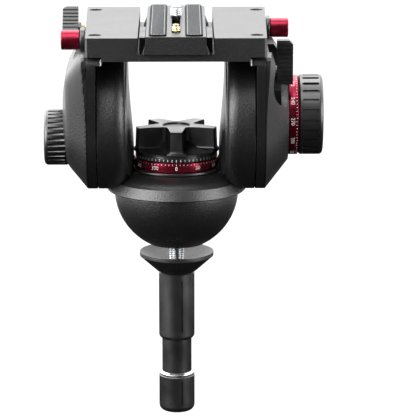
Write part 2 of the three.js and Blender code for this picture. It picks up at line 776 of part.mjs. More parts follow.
// The web swells from the arm's inner face towards the housing
function armWeb() {
  const rings = WEB_HEIGHT_SHARES.map((heightShare, level) => {
    const bulge = (ARM_INNER - WEB_BOTTOM_REACH) * WEB_BULGE_SHARES[level];
    return Array.from({ length: WEB_POINTS }, (_, i) => {
      const angle = (FULL_TURN * i) / WEB_POINTS;
      const swell = (WEB_BACK - ARM_INNER + bulge) * Math.cos(angle);
      const width = WEB_HALF_WIDTH * Math.sin(angle);
      return new THREE.Vector3(WEB_BACK - swell, width, ARM_PAD_RADIUS * heightShare);
    });
  });
  const core = rodAcross(ARM_PAD_RADIUS, 0, WEB_BACK + OVERRUN, LARGE_STEPS, 1);
  return common(lofted(rings), core);
}

function rightArm() {
  const start = ARM_INNER + ARM_STEP;
  const edge = Array.from({ length: ARC_STEPS + 1 }, (_, i) => {
    const angle = (QUARTER_TURN * i) / ARC_STEPS;
    return [ARM_RADIUS - ARM_ROUND_DROP * (1 - Math.sin(angle)), start + ARM_ROUND_WIDTH * (1 - Math.cos(angle))];
  });
  const seat = TILT_BEARING_RADIUS + SEAT_GAP;
  const disc = turnedAcross([
    [0, ARM_INNER],
    [ARM_PAD_RADIUS, ARM_INNER],
    [ARM_PAD_RADIUS + ARM_STEP, start],
    ...edge,
    [ARM_RADIUS, ARM_OUTER - ARM_EDGE],
    [ARM_RADIUS - ARM_EDGE, ARM_OUTER],
    [seat, ARM_OUTER],
    [seat, BEARING_SEAT],
    [0, BEARING_SEAT],
  ], LARGE_STEPS, 1);
  const arm = moved(join(disc, armWeb()), 0, 0, TILT_HEIGHT);
  return cut(arm, panClearance());
}

// The right arm's inner face has a short slot for the tilt scale
function armSlot() {
  return block(
    [0, ARM_SLOT_PLACE - ARM_SLOT_WIDTH, ARM_SLOT_HEIGHT],
    [ARM_INNER + ARM_SLOT_WIDTH / 2, ARM_SLOT_PLACE, ARM_SLOT_HEIGHT + ARM_SLOT_LENGTH],
  );
}

function tiltBearing(side) {
  const near = BEARING_SEAT + SEAT_GAP;
  const profile = tubeProfile(AXLE_RADIUS + SEAT_GAP, TILT_BEARING_RADIUS, near, near + TILT_BEARING);
  return turnedAcross(profile, MIDDLE_STEPS, side);
}

// A flanged hub screwed to the arm's outer face
function armHub(barrel, side) {
  return turnedAcross([
    [HUB_BORE, hubStart],
    [HUB_FLANGE_RADIUS, hubStart],
    [HUB_FLANGE_RADIUS, hubStart + HUB_FLANGE],
    [barrel, hubStart + HUB_FLANGE],
    [barrel, HUB_END],
    [HUB_BORE, HUB_END],
    [HUB_BORE, hubStart],
  ], MIDDLE_STEPS, side);
}

function tiltAxle(flangeStart, side) {
  return turnedAcross([
    [0, AXLE_NOSE],
    [AXLE_RADIUS, AXLE_NOSE],
    [AXLE_RADIUS, flangeStart],
    [AXLE_FLANGE_RADIUS, flangeStart],
    [AXLE_FLANGE_RADIUS, flangeStart + AXLE_FLANGE],
    [0, flangeStart + AXLE_FLANGE],
  ], MIDDLE_STEPS, side);
}

function rotorCup() {
  return turnedAcross([
    [ROTOR_CUP_BORE, coverStart],
    [ROTOR_CUP_RADIUS, coverStart],
    [ROTOR_CUP_RADIUS, ROTOR_CUP_END],
    [AXLE_RADIUS + SEAT_GAP, ROTOR_CUP_END],
    [AXLE_RADIUS + SEAT_GAP, ROTOR_CUP_END - ROTOR_CUP_FLOOR],
    [ROTOR_CUP_BORE, ROTOR_CUP_END - ROTOR_CUP_FLOOR],
    [ROTOR_CUP_BORE, coverStart],
  ], MIDDLE_STEPS, 1);
}

// A pack of spring leaves around the hub
function springPack() {
  const pitch = (HUB_END - coverStart) / SPRING_LEAVES;
  const leaves = Array.from({ length: SPRING_LEAVES }, (_, i) => {
    const near = coverStart + pitch * i;
    const far = near + pitch;
    const groove = far - pitch * SPRING_GROOVE_SHARE;
    const inner = SPRING_RADIUS - SPRING_GROOVE_DEPTH;
    return [[SPRING_RADIUS, near], [SPRING_RADIUS, groove], [inner, groove], [inner, far]];
  });
  return turnedAcross([
    [SPRING_BORE, coverStart],
    ...leaves.flat(),
    [SPRING_BORE, HUB_END],
    [SPRING_BORE, coverStart],
  ], MIDDLE_STEPS, -1);
}

// Distance from the tilt axis to the side's outline: a disc below, widening to the bridge above
function sideReach(angle) {
  const rise = Math.atan2(Math.sin(angle), Math.abs(Math.cos(angle)));
  const corner = Math.atan2(SIDE_TOP, FAN_HALF);
  const lean = corner - Math.acos(SIDE_RADIUS / Math.hypot(SIDE_TOP, FAN_HALF));
  const flank = (rise > lean ? Math.max(Math.cos(rise - lean), 0) : 1) / SIDE_RADIUS;
  const top = Math.max(Math.sin(rise), 0) / SIDE_TOP;
  return (flank ** FAN_SHARPNESS + top ** FAN_SHARPNESS) ** (-1 / FAN_SHARPNESS);
}

function sideOutline() {
  return Array.from({ length: OUTLINE_STEPS }, (_, i) => {
    const angle = (FULL_TURN * i) / OUTLINE_STEPS;
    const reach = sideReach(angle);
    return [reach * Math.cos(angle), reach * Math.sin(angle)];
  });
}

function rightSide() {
  const plate = prismAcross(sideOutline(), sideInner, sideOuter);
  const wide = prismAcross(sideOutline(), GUSSET_INNER, sideOuter);
  const gussets = [-1, 1].map((way) => common(wide, block(
    [GUSSET_INNER, Math.min(way * GUSSET_START, way * PLATFORM_HALF_LENGTH), SIDE_TOP - GUSSET_HEIGHT],
    [sideOuter, Math.max(way * GUSSET_START, way * PLATFORM_HALF_LENGTH), SIDE_TOP + OVERRUN],
  )));
  return cut(
    join(plate, ...gussets),
    rodAcross(SIDE_BORE, sideInner - OVERRUN, sideOuter + OVERRUN, LARGE_STEPS, 1),
    ...cornerScrewBores(1),
  );
}

// Levels of a cover from the side plate outwards, full above and drawn in below
function coverRings(levels, low, high, tipRadius, depth) {
  return levels.map((level, k) => Array.from({ length: OUTLINE_STEPS }, (_, i) => {
    const angle = (FULL_TURN * i) / OUTLINE_STEPS;
    const radius = mix(sideReach(angle), tipRadius, level);
    const upper = (1 + Math.sin(angle)) / 2;
    const across = coverStart + depth * mix(low[k], high[k], upper);
    return new THREE.Vector3(across, radius * Math.cos(angle), radius * Math.sin(angle));
  }));
}

// Round pocket in a cover, where a control moves
function pocket(radius, place, height, floor) {
  return moved(rodAcross(radius, floor, domeEnd + OVERRUN, MIDDLE_STEPS, 1), 0, place, height);
}

function rosetteBoss() {
  const boss = rodAcross(ROSETTE_BOSS_RADIUS, coverStart, ROSETTE_BOSS_END, MIDDLE_STEPS, 1);
  return moved(boss, 0, ROSETTE_PLACE, ROSETTE_HEIGHT);
}

// The left dome is drawn on the right and then mirrored
function leftDome() {
  const rings = coverRings(DOME_LEVEL_SHARES, DOME_LOW_SHARES, DOME_HIGH_SHARES, DOME_TIP_RADIUS, DOME_DEPTH);
  const flangeEnd = domeFlangeStart + AXLE_FLANGE + SEAT_GAP;
  const leverPocket = CLAMP_LEVER_UP + LEVER_SWEEP_GAP;
  const seatFloor = domeEnd - KNOB_SEAT_DEPTH;
  const knobSeat = COUNTER_KNOB_RADIUS + COUNTER_SEAT_CLEAR;
  return mirrored(cut(
    join(lofted(rings), rosetteBoss()),
    rodAcross(DOME_CAVITY_RADIUS, coverStart - OVERRUN, domeFlangeStart, MIDDLE_STEPS, 1),
    rodAcross(AXLE_FLANGE_RADIUS + SEAT_GAP, coverStart, flangeEnd, MIDDLE_STEPS, 1),
    pocket(BUTTON_RADIUS * 2, LEFT_BUTTON_PLACE, BUTTON_HEIGHT, BUTTON_POCKET_FLOOR),
    pocket(leverPocket, CLAMP_LEVER_PLACE, CLAMP_LEVER_HEIGHT, LEVER_HUB_START - SEAT_GAP),
    pocket(knobSeat, 0, -COUNTER_KNOB_DROP, seatFloor),
    pocket(KNOB_SHAFT_RADIUS + SEAT_GAP, 0, -COUNTER_KNOB_DROP, flangeEnd - AXLE_FLANGE / 2),
    rosetteRoom(),
    rosetteBore(),
  ));
}

// Room around the rosette for the end of a pan bar
function rosetteRoom() {
  return pocket(ROSETTE_BOSS_RADIUS, ROSETTE_PLACE, ROSETTE_HEIGHT, ROSETTE_BOSS_END);
}

function rosetteBore() {
  const bore = rodAcross(ROSETTE_BORE + SEAT_GAP, coverStart + SIDE_PLATE, domeEnd, SMALL_STEPS, 1);
  return moved(bore, 0, ROSETTE_PLACE, ROSETTE_HEIGHT);
}

function rightHousing() {
  const rings = coverRings(
    HOUSING_LEVEL_SHARES, HOUSING_LOW_SHARES, HOUSING_HIGH_SHARES, BOSS_RADIUS, HOUSING_DEPTH,
  );
  const flangeEnd = housingFlangeStart + AXLE_FLANGE + SEAT_GAP;
  const leverPocket = LEVER_UP + LEVER_SWEEP_GAP;
  return cut(
    join(lofted(rings), rosetteBoss()),
    rodAcross(CAVITY_RADIUS, coverStart - OVERRUN, housingFlangeStart, MIDDLE_STEPS, 1),
    rodAcross(AXLE_FLANGE_RADIUS + SEAT_GAP, coverStart, flangeEnd, MIDDLE_STEPS, 1),
    rodAcross(KNOB_SHAFT_RADIUS + SEAT_GAP, coverStart, bossEnd + OVERRUN, SMALL_STEPS, 1),
    pocket(bezelRadius + SEAT_GAP, RIGHT_BUTTON_PLACE, BUTTON_HEIGHT, BUTTON_POCKET_FLOOR),
    pocket(leverPocket, TILT_LEVER_PLACE, TILT_LEVER_HEIGHT, LEVER_POCKET_FLOOR),
    leverStemBore(),
    rosetteRoom(),
    rosetteBore(),
  );
}

function leverStemBore() {
  const bore = rodAcross(LEVER_STEM_RADIUS + SEAT_GAP, GUSSET_INNER, domeEnd, SMALL_STEPS, 1);
  return moved(bore, 0, TILT_LEVER_PLACE, TILT_LEVER_HEIGHT);
}

// The rosette is a toothed ring that a pan bar clamps on
function rosette() {
  const near = ROSETTE_BOSS_END + SEAT_GAP;
  const far = near + ROSETTE_DISC;
  const rings = [[ROSETTE_LAND, 0], [ROSETTE_RADIUS, 0], [ROSETTE_RADIUS, 1], [ROSETTE_LAND, 1]];
  const count = ROSETTE_TEETH * 2;
  const loops = Array.from({ length: count }, (_, i) => {
    const angle = (FULL_TURN * i) / count;
    const tooth = (i % 2) * ROSETTE_TOOTH;
    return rings.map(([radius, level]) => new THREE.Vector3(
      level ? far + tooth : near,
      radius * Math.cos(angle),
      radius * Math.sin(angle),
    ));
  });
  const points = loops.flat();
  const faces = [];
  for (let i = 0; i < count; i += 1) {
    const next = (i + 1) % count;
    rings.forEach((_, k) => {
      const other = (k + 1) % rings.length;
      const here = i * rings.length;
      const there = next * rings.length;
      faces.push(here + k, there + k, there + other, here + k, there + other, here + other);
    });
  }
  const teeth = new THREE.BufferGeometry().setFromPoints(points);
  teeth.setIndex(faces);
  const land = turnedAcross(tubeProfile(ROSETTE_BORE, ROSETTE_LAND + SEAT_GAP, near, far), SMALL_STEPS * 2, 1);
  return moved(join(teeth, land), 0, ROSETTE_PLACE, ROSETTE_HEIGHT);
}

function platformHalf(y) {
  const share = (y + PLATFORM_HALF_LENGTH) / (PLATFORM_HALF_LENGTH * 2);
  return mix(PLATFORM_FRONT_HALF, PLATFORM_BACK_HALF, share);
}

function cornerScrewPlaces(side) {
  return [CORNER_SCREW_FRONT, CORNER_SCREW_BACK].map(([x, y]) => [side * x, y]);
}

function cornerScrewBores(side) {
  const floor = PLATFORM_TOP - CORNER_SCREW_SINK - CORNER_SCREW_HEAD - SEAT_GAP;
  const tip = floor - CORNER_SCREW_LENGTH;
  return cornerScrewPlaces(side).map(([x, y]) => moved(turned([
    [0, tip],
    [CORNER_SCREW_RADIUS + SEAT_GAP, tip],
    [CORNER_SCREW_RADIUS + SEAT_GAP, floor],
    [CORNER_BORE_RADIUS, floor],
    [CORNER_BORE_RADIUS, PLATFORM_TOP + OVERRUN],
    [0, PLATFORM_TOP + OVERRUN],
  ], SMALL_STEPS * 1.5), x, y, 0));
}

function cornerScrew() {
  const top = PLATFORM_TOP - CORNER_SCREW_SINK;
  const head = top - CORNER_SCREW_HEAD;
  const tip = head - CORNER_SCREW_LENGTH + SEAT_GAP;
  return turned([
    [0, tip],
    [CORNER_SCREW_RADIUS, tip],
    [CORNER_SCREW_RADIUS, head],
    [CORNER_SCREW_HEAD_RADIUS, head],
    [CORNER_SCREW_HEAD_RADIUS, top],
    [0, top],
  ], SMALL_STEPS);
}

function platform() {
  const front = -PLATFORM_HALF_LENGTH;
  const back = PLATFORM_HALF_LENGTH;
  const slab = prism([
    [-PLATFORM_FRONT_HALF + PLATFORM_CORNER, front],
    [PLATFORM_FRONT_HALF - PLATFORM_CORNER, front],
    [PLATFORM_FRONT_HALF, front + PLATFORM_CORNER],
    [PLATFORM_BACK_HALF, back - PLATFORM_CORNER],
    [PLATFORM_BACK_HALF - PLATFORM_CORNER, back],
    [-PLATFORM_BACK_HALF + PLATFORM_CORNER, back],
    [-PLATFORM_BACK_HALF, back - PLATFORM_CORNER],
    [-PLATFORM_FRONT_HALF, front + PLATFORM_CORNER],
  ], slabBottom, PLATFORM_TOP);
  const rib = block([-RIB_HALF, front, ribBottom], [RIB_HALF, back, slabBottom + OVERRUN]);
  const lips = [-1, 1].map((way) => block(
    [-LIP_HALF, Math.min(way * LIP_START, way * PLATFORM_HALF_LENGTH), ribBottom],
    [LIP_HALF, Math.max(way * LIP_START, way * PLATFORM_HALF_LENGTH), slabBottom + OVERRUN],
  ));
  const channel = block(
    [-CHANNEL_HALF, front - OVERRUN, channelFloor],
    [CHANNEL_HALF, back + OVERRUN, PLATFORM_TOP + OVERRUN],
  );
  const controls = [[-1, LEFT_BUTTON_PLACE], [1, RIGHT_BUTTON_PLACE]].map(([side, y]) => {
    const sink = BUTTON_START - BUTTON_TRAVEL - SEAT_GAP;
    const stem = BUTTON_START - BUTTON_STEM - BUTTON_TRAVEL - SEAT_GAP;
    return moved(turnedAcross([
      [0, stem],
      [BUTTON_STEM_RADIUS + SEAT_GAP, stem],
      [BUTTON_STEM_RADIUS + SEAT_GAP, sink],
      [BUTTON_RADIUS + BEZEL_GAP, sink],
      [BUTTON_RADIUS + BEZEL_GAP, BUTTON_START],
      [0, BUTTON_START],
    ], MIDDLE_STEPS, side), 0, y, BUTTON_HEIGHT);
  });
  const clampBore = moved(
    rodAcross(LEVER_STEM_RADIUS + SEAT_GAP, LEVER_STEM_END - SEAT_GAP, BUTTON_START, SMALL_STEPS, -1),
    0, CLAMP_LEVER_PLACE, CLAMP_LEVER_HEIGHT,
  );
  return cut(
    join(slab, rib, ...lips), channel, ...controls, clampBore,
    ...cornerScrewBores(-1), ...cornerScrewBores(1),
  );
}

function jawSection() {
  const top = PLATFORM_TOP + JAW_RISE;
  return [
    [PLATE_FOOT_HALF + JAW_GAP, plateBottom],
    [JAW_OUTER, plateBottom],
    [JAW_OUTER, top],
    [PLATE_HALF + JAW_GAP, top],
    [PLATE_HALF + JAW_GAP, plateBottom + PLATE_FLANK],
  ];
}

function rightJaw() {
  return prismAlong(jawSection(), JAW_FRONT, JAW_BACK);
}

function padOutline(margin) {
  const corner = PAD_CORNER - margin;
  const left = PAD_INNER + margin;
  const right = PAD_INNER + PAD_WIDTH - margin;
  const front = PLATE_FRONT + PAD_MARGIN + margin;
  const back = PLATE_BACK - PAD_MARGIN - margin;
  return [
    ...arc(right - corner, front + corner, corner, -QUARTER_TURN, 0, ARC_STEPS - 2),
    ...arc(right - corner, back - corner, corner, 0, QUARTER_TURN, ARC_STEPS - 2),
    ...arc(left + corner, back - corner, corner, QUARTER_TURN, QUARTER_TURN * 2, ARC_STEPS - 2),
    ...arc(left + corner, front + corner, corner, QUARTER_TURN * 2, QUARTER_TURN * 3, ARC_STEPS - 2),
  ];
}

function slidingPlate() {
  const section = [
    [-PLATE_FOOT_HALF, plateBottom],
    [PLATE_FOOT_HALF, plateBottom],
    [PLATE_HALF, plateBottom + PLATE_FLANK],
    [PLATE_HALF, plateTop],
    [-PLATE_HALF, plateTop],
    [-PLATE_HALF, plateBottom + PLATE_FLANK],
  ];
  const blank = prismAlong(section, PLATE_FRONT, PLATE_BACK);
  const corners = prism([
    [-PLATE_HALF + PLATE_CHAMFER, PLATE_BACK],
    [-PLATE_FOOT_HALF, PLATE_BACK - PLATE_CHAMFER * 2],
    [-PLATE_FOOT_HALF, PLATE_FRONT + PLATE_CHAMFER],
    [-PLATE_FOOT_HALF + PLATE_CHAMFER / 2, PLATE_FRONT],
    [PLATE_FOOT_HALF - PLATE_CHAMFER / 2, PLATE_FRONT],
    [PLATE_FOOT_HALF, PLATE_FRONT + PLATE_CHAMFER],
    [PLATE_FOOT_HALF, PLATE_BACK - PLATE_CHAMFER * 2],
    [PLATE_HALF - PLATE_CHAMFER, PLATE_BACK],
  ], plateBottom - OVERRUN, plateTop + OVERRUN);
  const groove = block(
    [-GROOVE_HALF, PLATE_FRONT + GROOVE_END_WALL, plateBottom - OVERRUN],
    [GROOVE_HALF, PLATE_BACK - GROOVE_END_WALL, plateTop - PLATE_WEB],
  );
  const slot = block([-SLOT_HALF, SLOT_FRONT, plateBottom], [SLOT_HALF, SLOT_BACK, plateTop + OVERRUN]);
  const keyhole = moved(rod(KEYHOLE_RADIUS, plateBottom, plateTop + OVERRUN, SMALL_STEPS), 0, SLOT_BACK, 0);
  const padBed = prism(padOutline(-SEAT_GAP), plateTop - PAD_SINK, plateTop + OVERRUN);
  return cut(common(blank, corners), groove, slot, keyhole, padBed, padBed.clone().scale(-1, 1, 1));
}

function platePad() {
  const low = plateTop - PAD_SINK + SEAT_GAP;
  return prism(padOutline(0), low, low + PAD_THICK);
}

// A captive camera screw: head in the groove, neck in the slot, thread above the plate
function cameraScrew(thread, rise, head, neck) {
  const carriageLow = plateTop - PLATE_WEB - SEAT_GAP - CARRIAGE;
  const headTop = carriageLow - SEAT_GAP;
  const threadLow = plateTop + SEAT_GAP;
  const top = plateTop + rise;
  return turned([
    [0, headTop - SCREW_HEAD],
    [head - SCREW_CHAMFER, headTop - SCREW_HEAD],
    [head, headTop - SCREW_HEAD + SCREW_CHAMFER],
    [head, headTop],
    [neck, headTop],
    [neck, threadLow],
    [thread, threadLow],
    [thread, top - SCREW_CHAMFER],
    [thread - SCREW_CHAMFER, top],
    [0, top],
  ], SMALL_STEPS * 1.5);
}

function screwCarriage(neck) {
  const high = plateTop - PLATE_WEB - SEAT_GAP;
  const low = high - CARRIAGE;
  const body = block([-GROOVE_HALF + SEAT_GAP, -CARRIAGE_HALF, low], [GROOVE_HALF - SEAT_GAP, CARRIAGE_HALF, high]);
  return cut(body, rod(neck + SEAT_GAP, low - OVERRUN, high + OVERRUN, SMALL_STEPS));
}

// A fluted knob turned about its own axis, with closed flutes behind a rounded front edge
function flutedKnob(radius, height, round, flutes, fluteWidth, fluteDepth, dish) {
  const edge = arc(radius - round, height - round, round, 0, QUARTER_TURN, ARC_STEPS);
  const body = turned([
    [0, 0],
    [radius - fluteDepth, 0],
    [radius, fluteDepth],
    ...edge,
    [dish.radius, height],
    [dish.radius - dish.depth, height - dish.depth],
    [0, height - dish.depth],
  ], flutes);
  const flute = block(
    [radius - fluteDepth, -fluteWidth / 2, fluteDepth * 2],
    [radius + OVERRUN, fluteWidth / 2, height - round],
  );
  return cut(body, aroundZ(flute, flutes));
}

function tiltKnob() {
  const dish = { radius: TILT_DISH_RADIUS, depth: TILT_DISH_DEPTH };
  const grip = flutedKnob(
    TILT_KNOB_RADIUS, TILT_KNOB, TILT_KNOB_ROUND, TILT_KNOB_FLUTES, TILT_FLUTE_WIDTH, TILT_FLUTE_DEPTH, dish,
  );
  const hub = rod(TILT_RING_BORE - SEAT_GAP, SEAT_GAP - TILT_RING, TILT_KNOB / 2, MIDDLE_STEPS);
  const shaftStart = bossEnd - (bossEnd + SEAT_GAP * 2 + TILT_RING) - SEAT_GAP;
  const shaft = rod(KNOB_SHAFT_RADIUS, shaftStart - OVERRUN / 2, TILT_KNOB / 2, SMALL_STEPS);
  return join(grip, hub, shaft);
}

function counterKnob() {
  const dish = { radius: COUNTER_KNOB_RADIUS / 2, depth: COUNTER_FLUTE_DEPTH };
  const grip = flutedKnob(
    COUNTER_KNOB_RADIUS, COUNTER_KNOB, COUNTER_KNOB_ROUND, COUNTER_KNOB_FLUTES,
    COUNTER_FLUTE_WIDTH, COUNTER_FLUTE_DEPTH, dish,
  );
  return join(grip, rod(KNOB_SHAFT_RADIUS, -OVERRUN, COUNTER_KNOB / 2, SMALL_STEPS));
}

function tiltRing() {
  const near = bossEnd + SEAT_GAP;
  return turnedAcross([
    [TILT_RING_BORE, near],
    [TILT_RING_RADIUS - RED_RING_EDGE, near],
    [TILT_RING_RADIUS, near + RED_RING_EDGE],
    [TILT_RING_RADIUS, near + TILT_RING - RED_RING_EDGE],
    [TILT_RING_RADIUS - RED_RING_EDGE, near + TILT_RING],
    [TILT_RING_BORE, near + TILT_RING],
    [TILT_RING_BORE, near],
  ], LARGE_STEPS, 1);
}

function redRing() {
  return turned([
    [RING_BORE, redRingBottom],
    [RED_RING_RADIUS - RED_RING_EDGE, redRingBottom],
    [RED_RING_RADIUS, redRingBottom + RED_RING_EDGE],
    [RED_RING_RADIUS, redRingTop - RED_RING_EDGE],
    [RED_RING_RADIUS - RED_RING_EDGE, redRingTop],
    [RING_BORE, redRingTop],
    [RING_BORE, redRingBottom],
  ], LARGE_STEPS);
}

function indexRing() {
  return turned(tubeProfile(RING_BORE, INDEX_RING_RADIUS, indexRingBottom, indexRingTop), LARGE_STEPS);
}

function scaleRing() {
  const spigotRadius = RING_BORE - SEAT_GAP;
  const spigotLow = scaleRingBottom - SPIGOT_DEPTH;
  return turned([
    [SCALE_RING_BORE, scaleRingBottom],
    [spigotRadius - SPIGOT_WALL, scaleRingBottom],
    [spigotRadius - SPIGOT_WALL, spigotLow],
    [spigotRadius, spigotLow],
    [spigotRadius, scaleRingBottom],
    [SCALE_RING_RADIUS, scaleRingBottom],
    [SCALE_RING_RADIUS, scaleRingTop],
    [SCALE_RING_BORE, scaleRingTop],
    [SCALE_RING_BORE, scaleRingBottom],
  ], LARGE_STEPS);
}

// The pan knob: a star of five tapered arms under a shallow crown, on a flared skirt.
// One arm points to the front.
function panKnob() {
  const sector = FULL_TURN / KNOB_ARMS;
  const outline = Array.from({ length: KNOB_ARMS }, (_, k) => ARM_ANGLE_SHARES.map((share, i) => {
    const angle = sector * (k + share) - FULL_TURN / 4;
    const radius = mix(KNOB_RECESS_RADIUS, KNOB_RADIUS, ARM_REACH_SHARES[i]);
    return [radius * Math.cos(angle), radius * Math.sin(angle)];
  })).flat();
  const star = prism(outline, knobBottom, knobTop + OVERRUN);
  const crown = turned([
    [0, knobBottom],
    [KNOB_RADIUS, knobBottom],
    ...CROWN_RADIUS_SHARES.map((share, i) => (
      [KNOB_RADIUS * share, knobBottom + KNOB_HEIGHT * CROWN_HEIGHT_SHARES[i]]
    )).reverse(),
    [0, knobTop],
  ], LARGE_STEPS);
  const skirt = turned([
    [0, knobBottom],
    ...SKIRT_RADIUS_SHARES.map((share, i) => (
      [KNOB_SKIRT_RADIUS * share, knobBottom + KNOB_HEIGHT * SKIRT_HEIGHT_SHARES[i]]
    )),
    [0, knobBottom + KNOB_HEIGHT * SKIRT_HEIGHT_SHARES[SKIRT_HEIGHT_SHARES.length - 1]],
  ], LARGE_STEPS);
  const dish = rod(KNOB_DISH_RADIUS, knobTop - KNOB_DISH_DEPTH, knobTop + OVERRUN, MIDDLE_STEPS);
  return cut(join(common(star, crown), skirt), dish);
}

function redButton(side, place) {
  const end = BUTTON_START + BUTTON_LENGTH;
  const stem = BUTTON_START - BUTTON_STEM;
  return moved(turnedAcross([
    [0, stem],
    [BUTTON_STEM_RADIUS, stem],
    [BUTTON_STEM_RADIUS, BUTTON_START],
    [BUTTON_RADIUS - BUTTON_EDGE, BUTTON_START],
    [BUTTON_RADIUS, BUTTON_START + BUTTON_EDGE],
    [BUTTON_RADIUS, end - BUTTON_EDGE],
    [BUTTON_RADIUS - BUTTON_EDGE, end],
    [0, end],
  ], MIDDLE_STEPS, side), 0, place, BUTTON_HEIGHT);
}

function buttonBezel(side, place) {
  const inner = BUTTON_RADIUS + BEZEL_GAP;
  const near = platformHalf(place + bezelRadius) + SEAT_GAP;
  const profile = tubeProfile(inner, bezelRadius, near, BUTTON_START - SEAT_GAP);
  return moved(turnedAcross(profile, MIDDLE_STEPS, side), 0, place, BUTTON_HEIGHT);
}

// A ribbed grip: lands and grooves on both faces, in an outline of depth and height
function ribbedOutline(halfDepth, rib, ribDepth, low, high) {
  const count = Math.round((high - low) / rib);
  const pitch = (high - low) / count;
  const flank = Array.from({ length: count }, (_, i) => {
    const start = low + pitch * i;
    const land = start + pitch * LEVER_RIB_LAND_SHARE;
    return [
      [halfDepth, start],
      [halfDepth, land],
      [halfDepth - ribDepth, land],
      [halfDepth - ribDepth, start + pitch],
    ];
  }).flat();
  const other = flank.map(([depth, height]) => [-depth, height]).reverse();
  return [...flank, ...other];
}

// A lever drawn upright about its pivot, outwards along +X
function leverGrip(up, down) {
  const outline = ribbedOutline(LEVER_HALF_DEPTH, LEVER_RIB, LEVER_RIB_DEPTH, -down, up);
  const far = LEVER_START + LEVER_WIDTH;
  const grip = prismAcross(outline, LEVER_START, far);
  const chamfer = prismAlong([
    [far - LEVER_CHAMFER, up],
    [far, up - LEVER_CHAMFER],
    [far + OVERRUN, up + OVERRUN],
  ], -LEVER_HALF_DEPTH - OVERRUN, LEVER_HALF_DEPTH + OVERRUN);
  const bore = rodAcross(LEVER_STEM_RADIUS + SEAT_GAP, 0, LEVER_START + LEVER_WIDTH / 2, SMALL_STEPS, 1);
  const hub = rodAcross(LEVER_HUB_RADIUS, LEVER_HUB_START, LEVER_START + LEVER_CHAMFER, SMALL_STEPS, 1);
  return cut(join(grip, hub), chamfer, bore);
}

// The brass nut with its stem, on the lever's axis
function leverNut() {
  const nutEnd = LEVER_HUB_START - SEAT_GAP;
  const nut = rodAcross(NUT_RADIUS, NUT_START, nutEnd, 6, 1);
  const stemEnd = LEVER_START + LEVER_WIDTH / 2 - SEAT_GAP;
  return join(nut, rodAcross(LEVER_STEM_RADIUS, LEVER_STEM_END, stemEnd, SMALL_STEPS, 1));
}

function lockGrip() {
  const outline = ribbedOutline(LOCK_HALF_DEPTH, LOCK_RIB, LEVER_RIB_DEPTH, -LOCK_GRIP_DOWN, LOCK_GRIP_UP);
  const near = LOCK_NUT + SEAT_GAP * 2;
  const grip = prismAcross(outline, near, near + LOCK_GRIP_WIDTH);
  const bore = rodAcross(LOCK_STEM_RADIUS + SEAT_GAP, 0, near + LOCK_GRIP_WIDTH / 2, SMALL_STEPS, 1);
  return cut(grip, bore);
}

function lockScrew() {
  const nut = rodAcross(LOCK_NUT_RADIUS, SEAT_GAP, SEAT_GAP + LOCK_NUT, 6, 1);
  const stemEnd = LOCK_NUT + SEAT_GAP + LOCK_GRIP_WIDTH / 2;
  const stemStart = SEAT_GAP - LOCK_STEM;
  return join(nut, rodAcross(LOCK_STEM_RADIUS, stemStart, stemEnd, SMALL_STEPS, 1));
}

// Finishes as the eye sees them: colour, roughness, metalness
const finish = (color, roughness, metalness) => new THREE.MeshStandardMaterial({ color, roughness, metalness });
const castBlack = finish(0x2c2c2d, 0.55, 0.2);
const silverGrey = finish(0xa9aaac, 0.5, 0.3);
const knobBlack = finish(0x191919, 0.6, 0);
const red = finish(0xc32f44, 0.35, 0.6);
const steel = finish(0xb4b6b8, 0.3, 1);
const brass = finish(0xc9a76a, 0.3, 1);
const rubber = finish(0x6f7072, 0.9, 0);
const machined = finish(0x77797c, 0.4, 0.9);

function addTo(parent, name, geometry, material) {
  const mesh = new THREE.Mesh(asGeometry(asSolid(geometry)), material);
  mesh.name = name;
  parent.add(mesh);
  return mesh;
}

function groupAt(parent, x, y, z) {
  const group = new THREE.Group();
  group.position.set(x, y, z);
  parent.add(group);
  return group;
}

const head = new THREE.Group();

const base = groupAt(head, 0, 0, 0);
addTo(base, 'half_ball', halfBall(), castBlack);
addTo(base, 'pan_shaft', panShaft(), machined);
addTo(base, 'shaft_nut', shaftNut(), steel);
addTo(base, 'pan_drag_rotor', dragRotor(), machined);
addTo(base, 'tie_down_stud', tieDownStud(), steel);

const tieDown = groupAt(head, 0, 0, 0);
addTo(tieDown, 'clamp_cup', clampCup(), castBlack);
addTo(tieDown, 'handle_sleeve', handleSleeve(), knobBlack);
addTo(tieDown, 'handle_collar', handleCollar(), machined);
addTo(tieDown, 'handle_grip', handleGrip(), knobBlack);

const yoke = groupAt(head, 0, 0, 0);
addTo(yoke, 'pan_housing', panHousing(), castBlack);
addTo(yoke, 'right_arm', cut(rightArm(), armSlot()), castBlack);
addTo(yoke, 'left_arm', mirrored(rightArm()), castBlack);
addTo(yoke, 'pan_bearing', panBearing(), steel);
addTo(yoke, 'pan_drag_cup', dragCup(), machined);
addTo(yoke, 'pan_index_ring', indexRing(), knobBlack);
addTo(yoke, 'pan_red_ring', redRing(), red);
addTo(yoke, 'bubble_level', bubbleLevel(), brass);

const panKnobGroup = groupAt(yoke, 0, 0, 0);
addTo(panKnobGroup, 'pan_scale_ring', scaleRing(), knobBlack);
addTo(panKnobGroup, 'pan_drag_knob', panKnob(), knobBlack);

const lock = groupAt(yoke, LOCK_PLACE, LUG_BACK, LOCK_HEIGHT);
lock.rotation.z = QUARTER_TURN;
addTo(lock, 'pan_lock_lever', lockGrip(), knobBlack).rotation.x = QUARTER_TURN;
addTo(lock, 'pan_lock_screw', lockScrew(), brass);

const armCentre = groupAt(yoke, 0, 0, TILT_HEIGHT);
addTo(armCentre, 'left_tilt_bearing', tiltBearing(-1), steel);
addTo(armCentre, 'right_tilt_bearing', tiltBearing(1), steel);
addTo(armCentre, 'counterbalance_hub', armHub(COUNTER_HUB_RADIUS, -1), machined);
addTo(armCentre, 'tilt_drag_stator', armHub(STATOR_RADIUS, 1), machined);

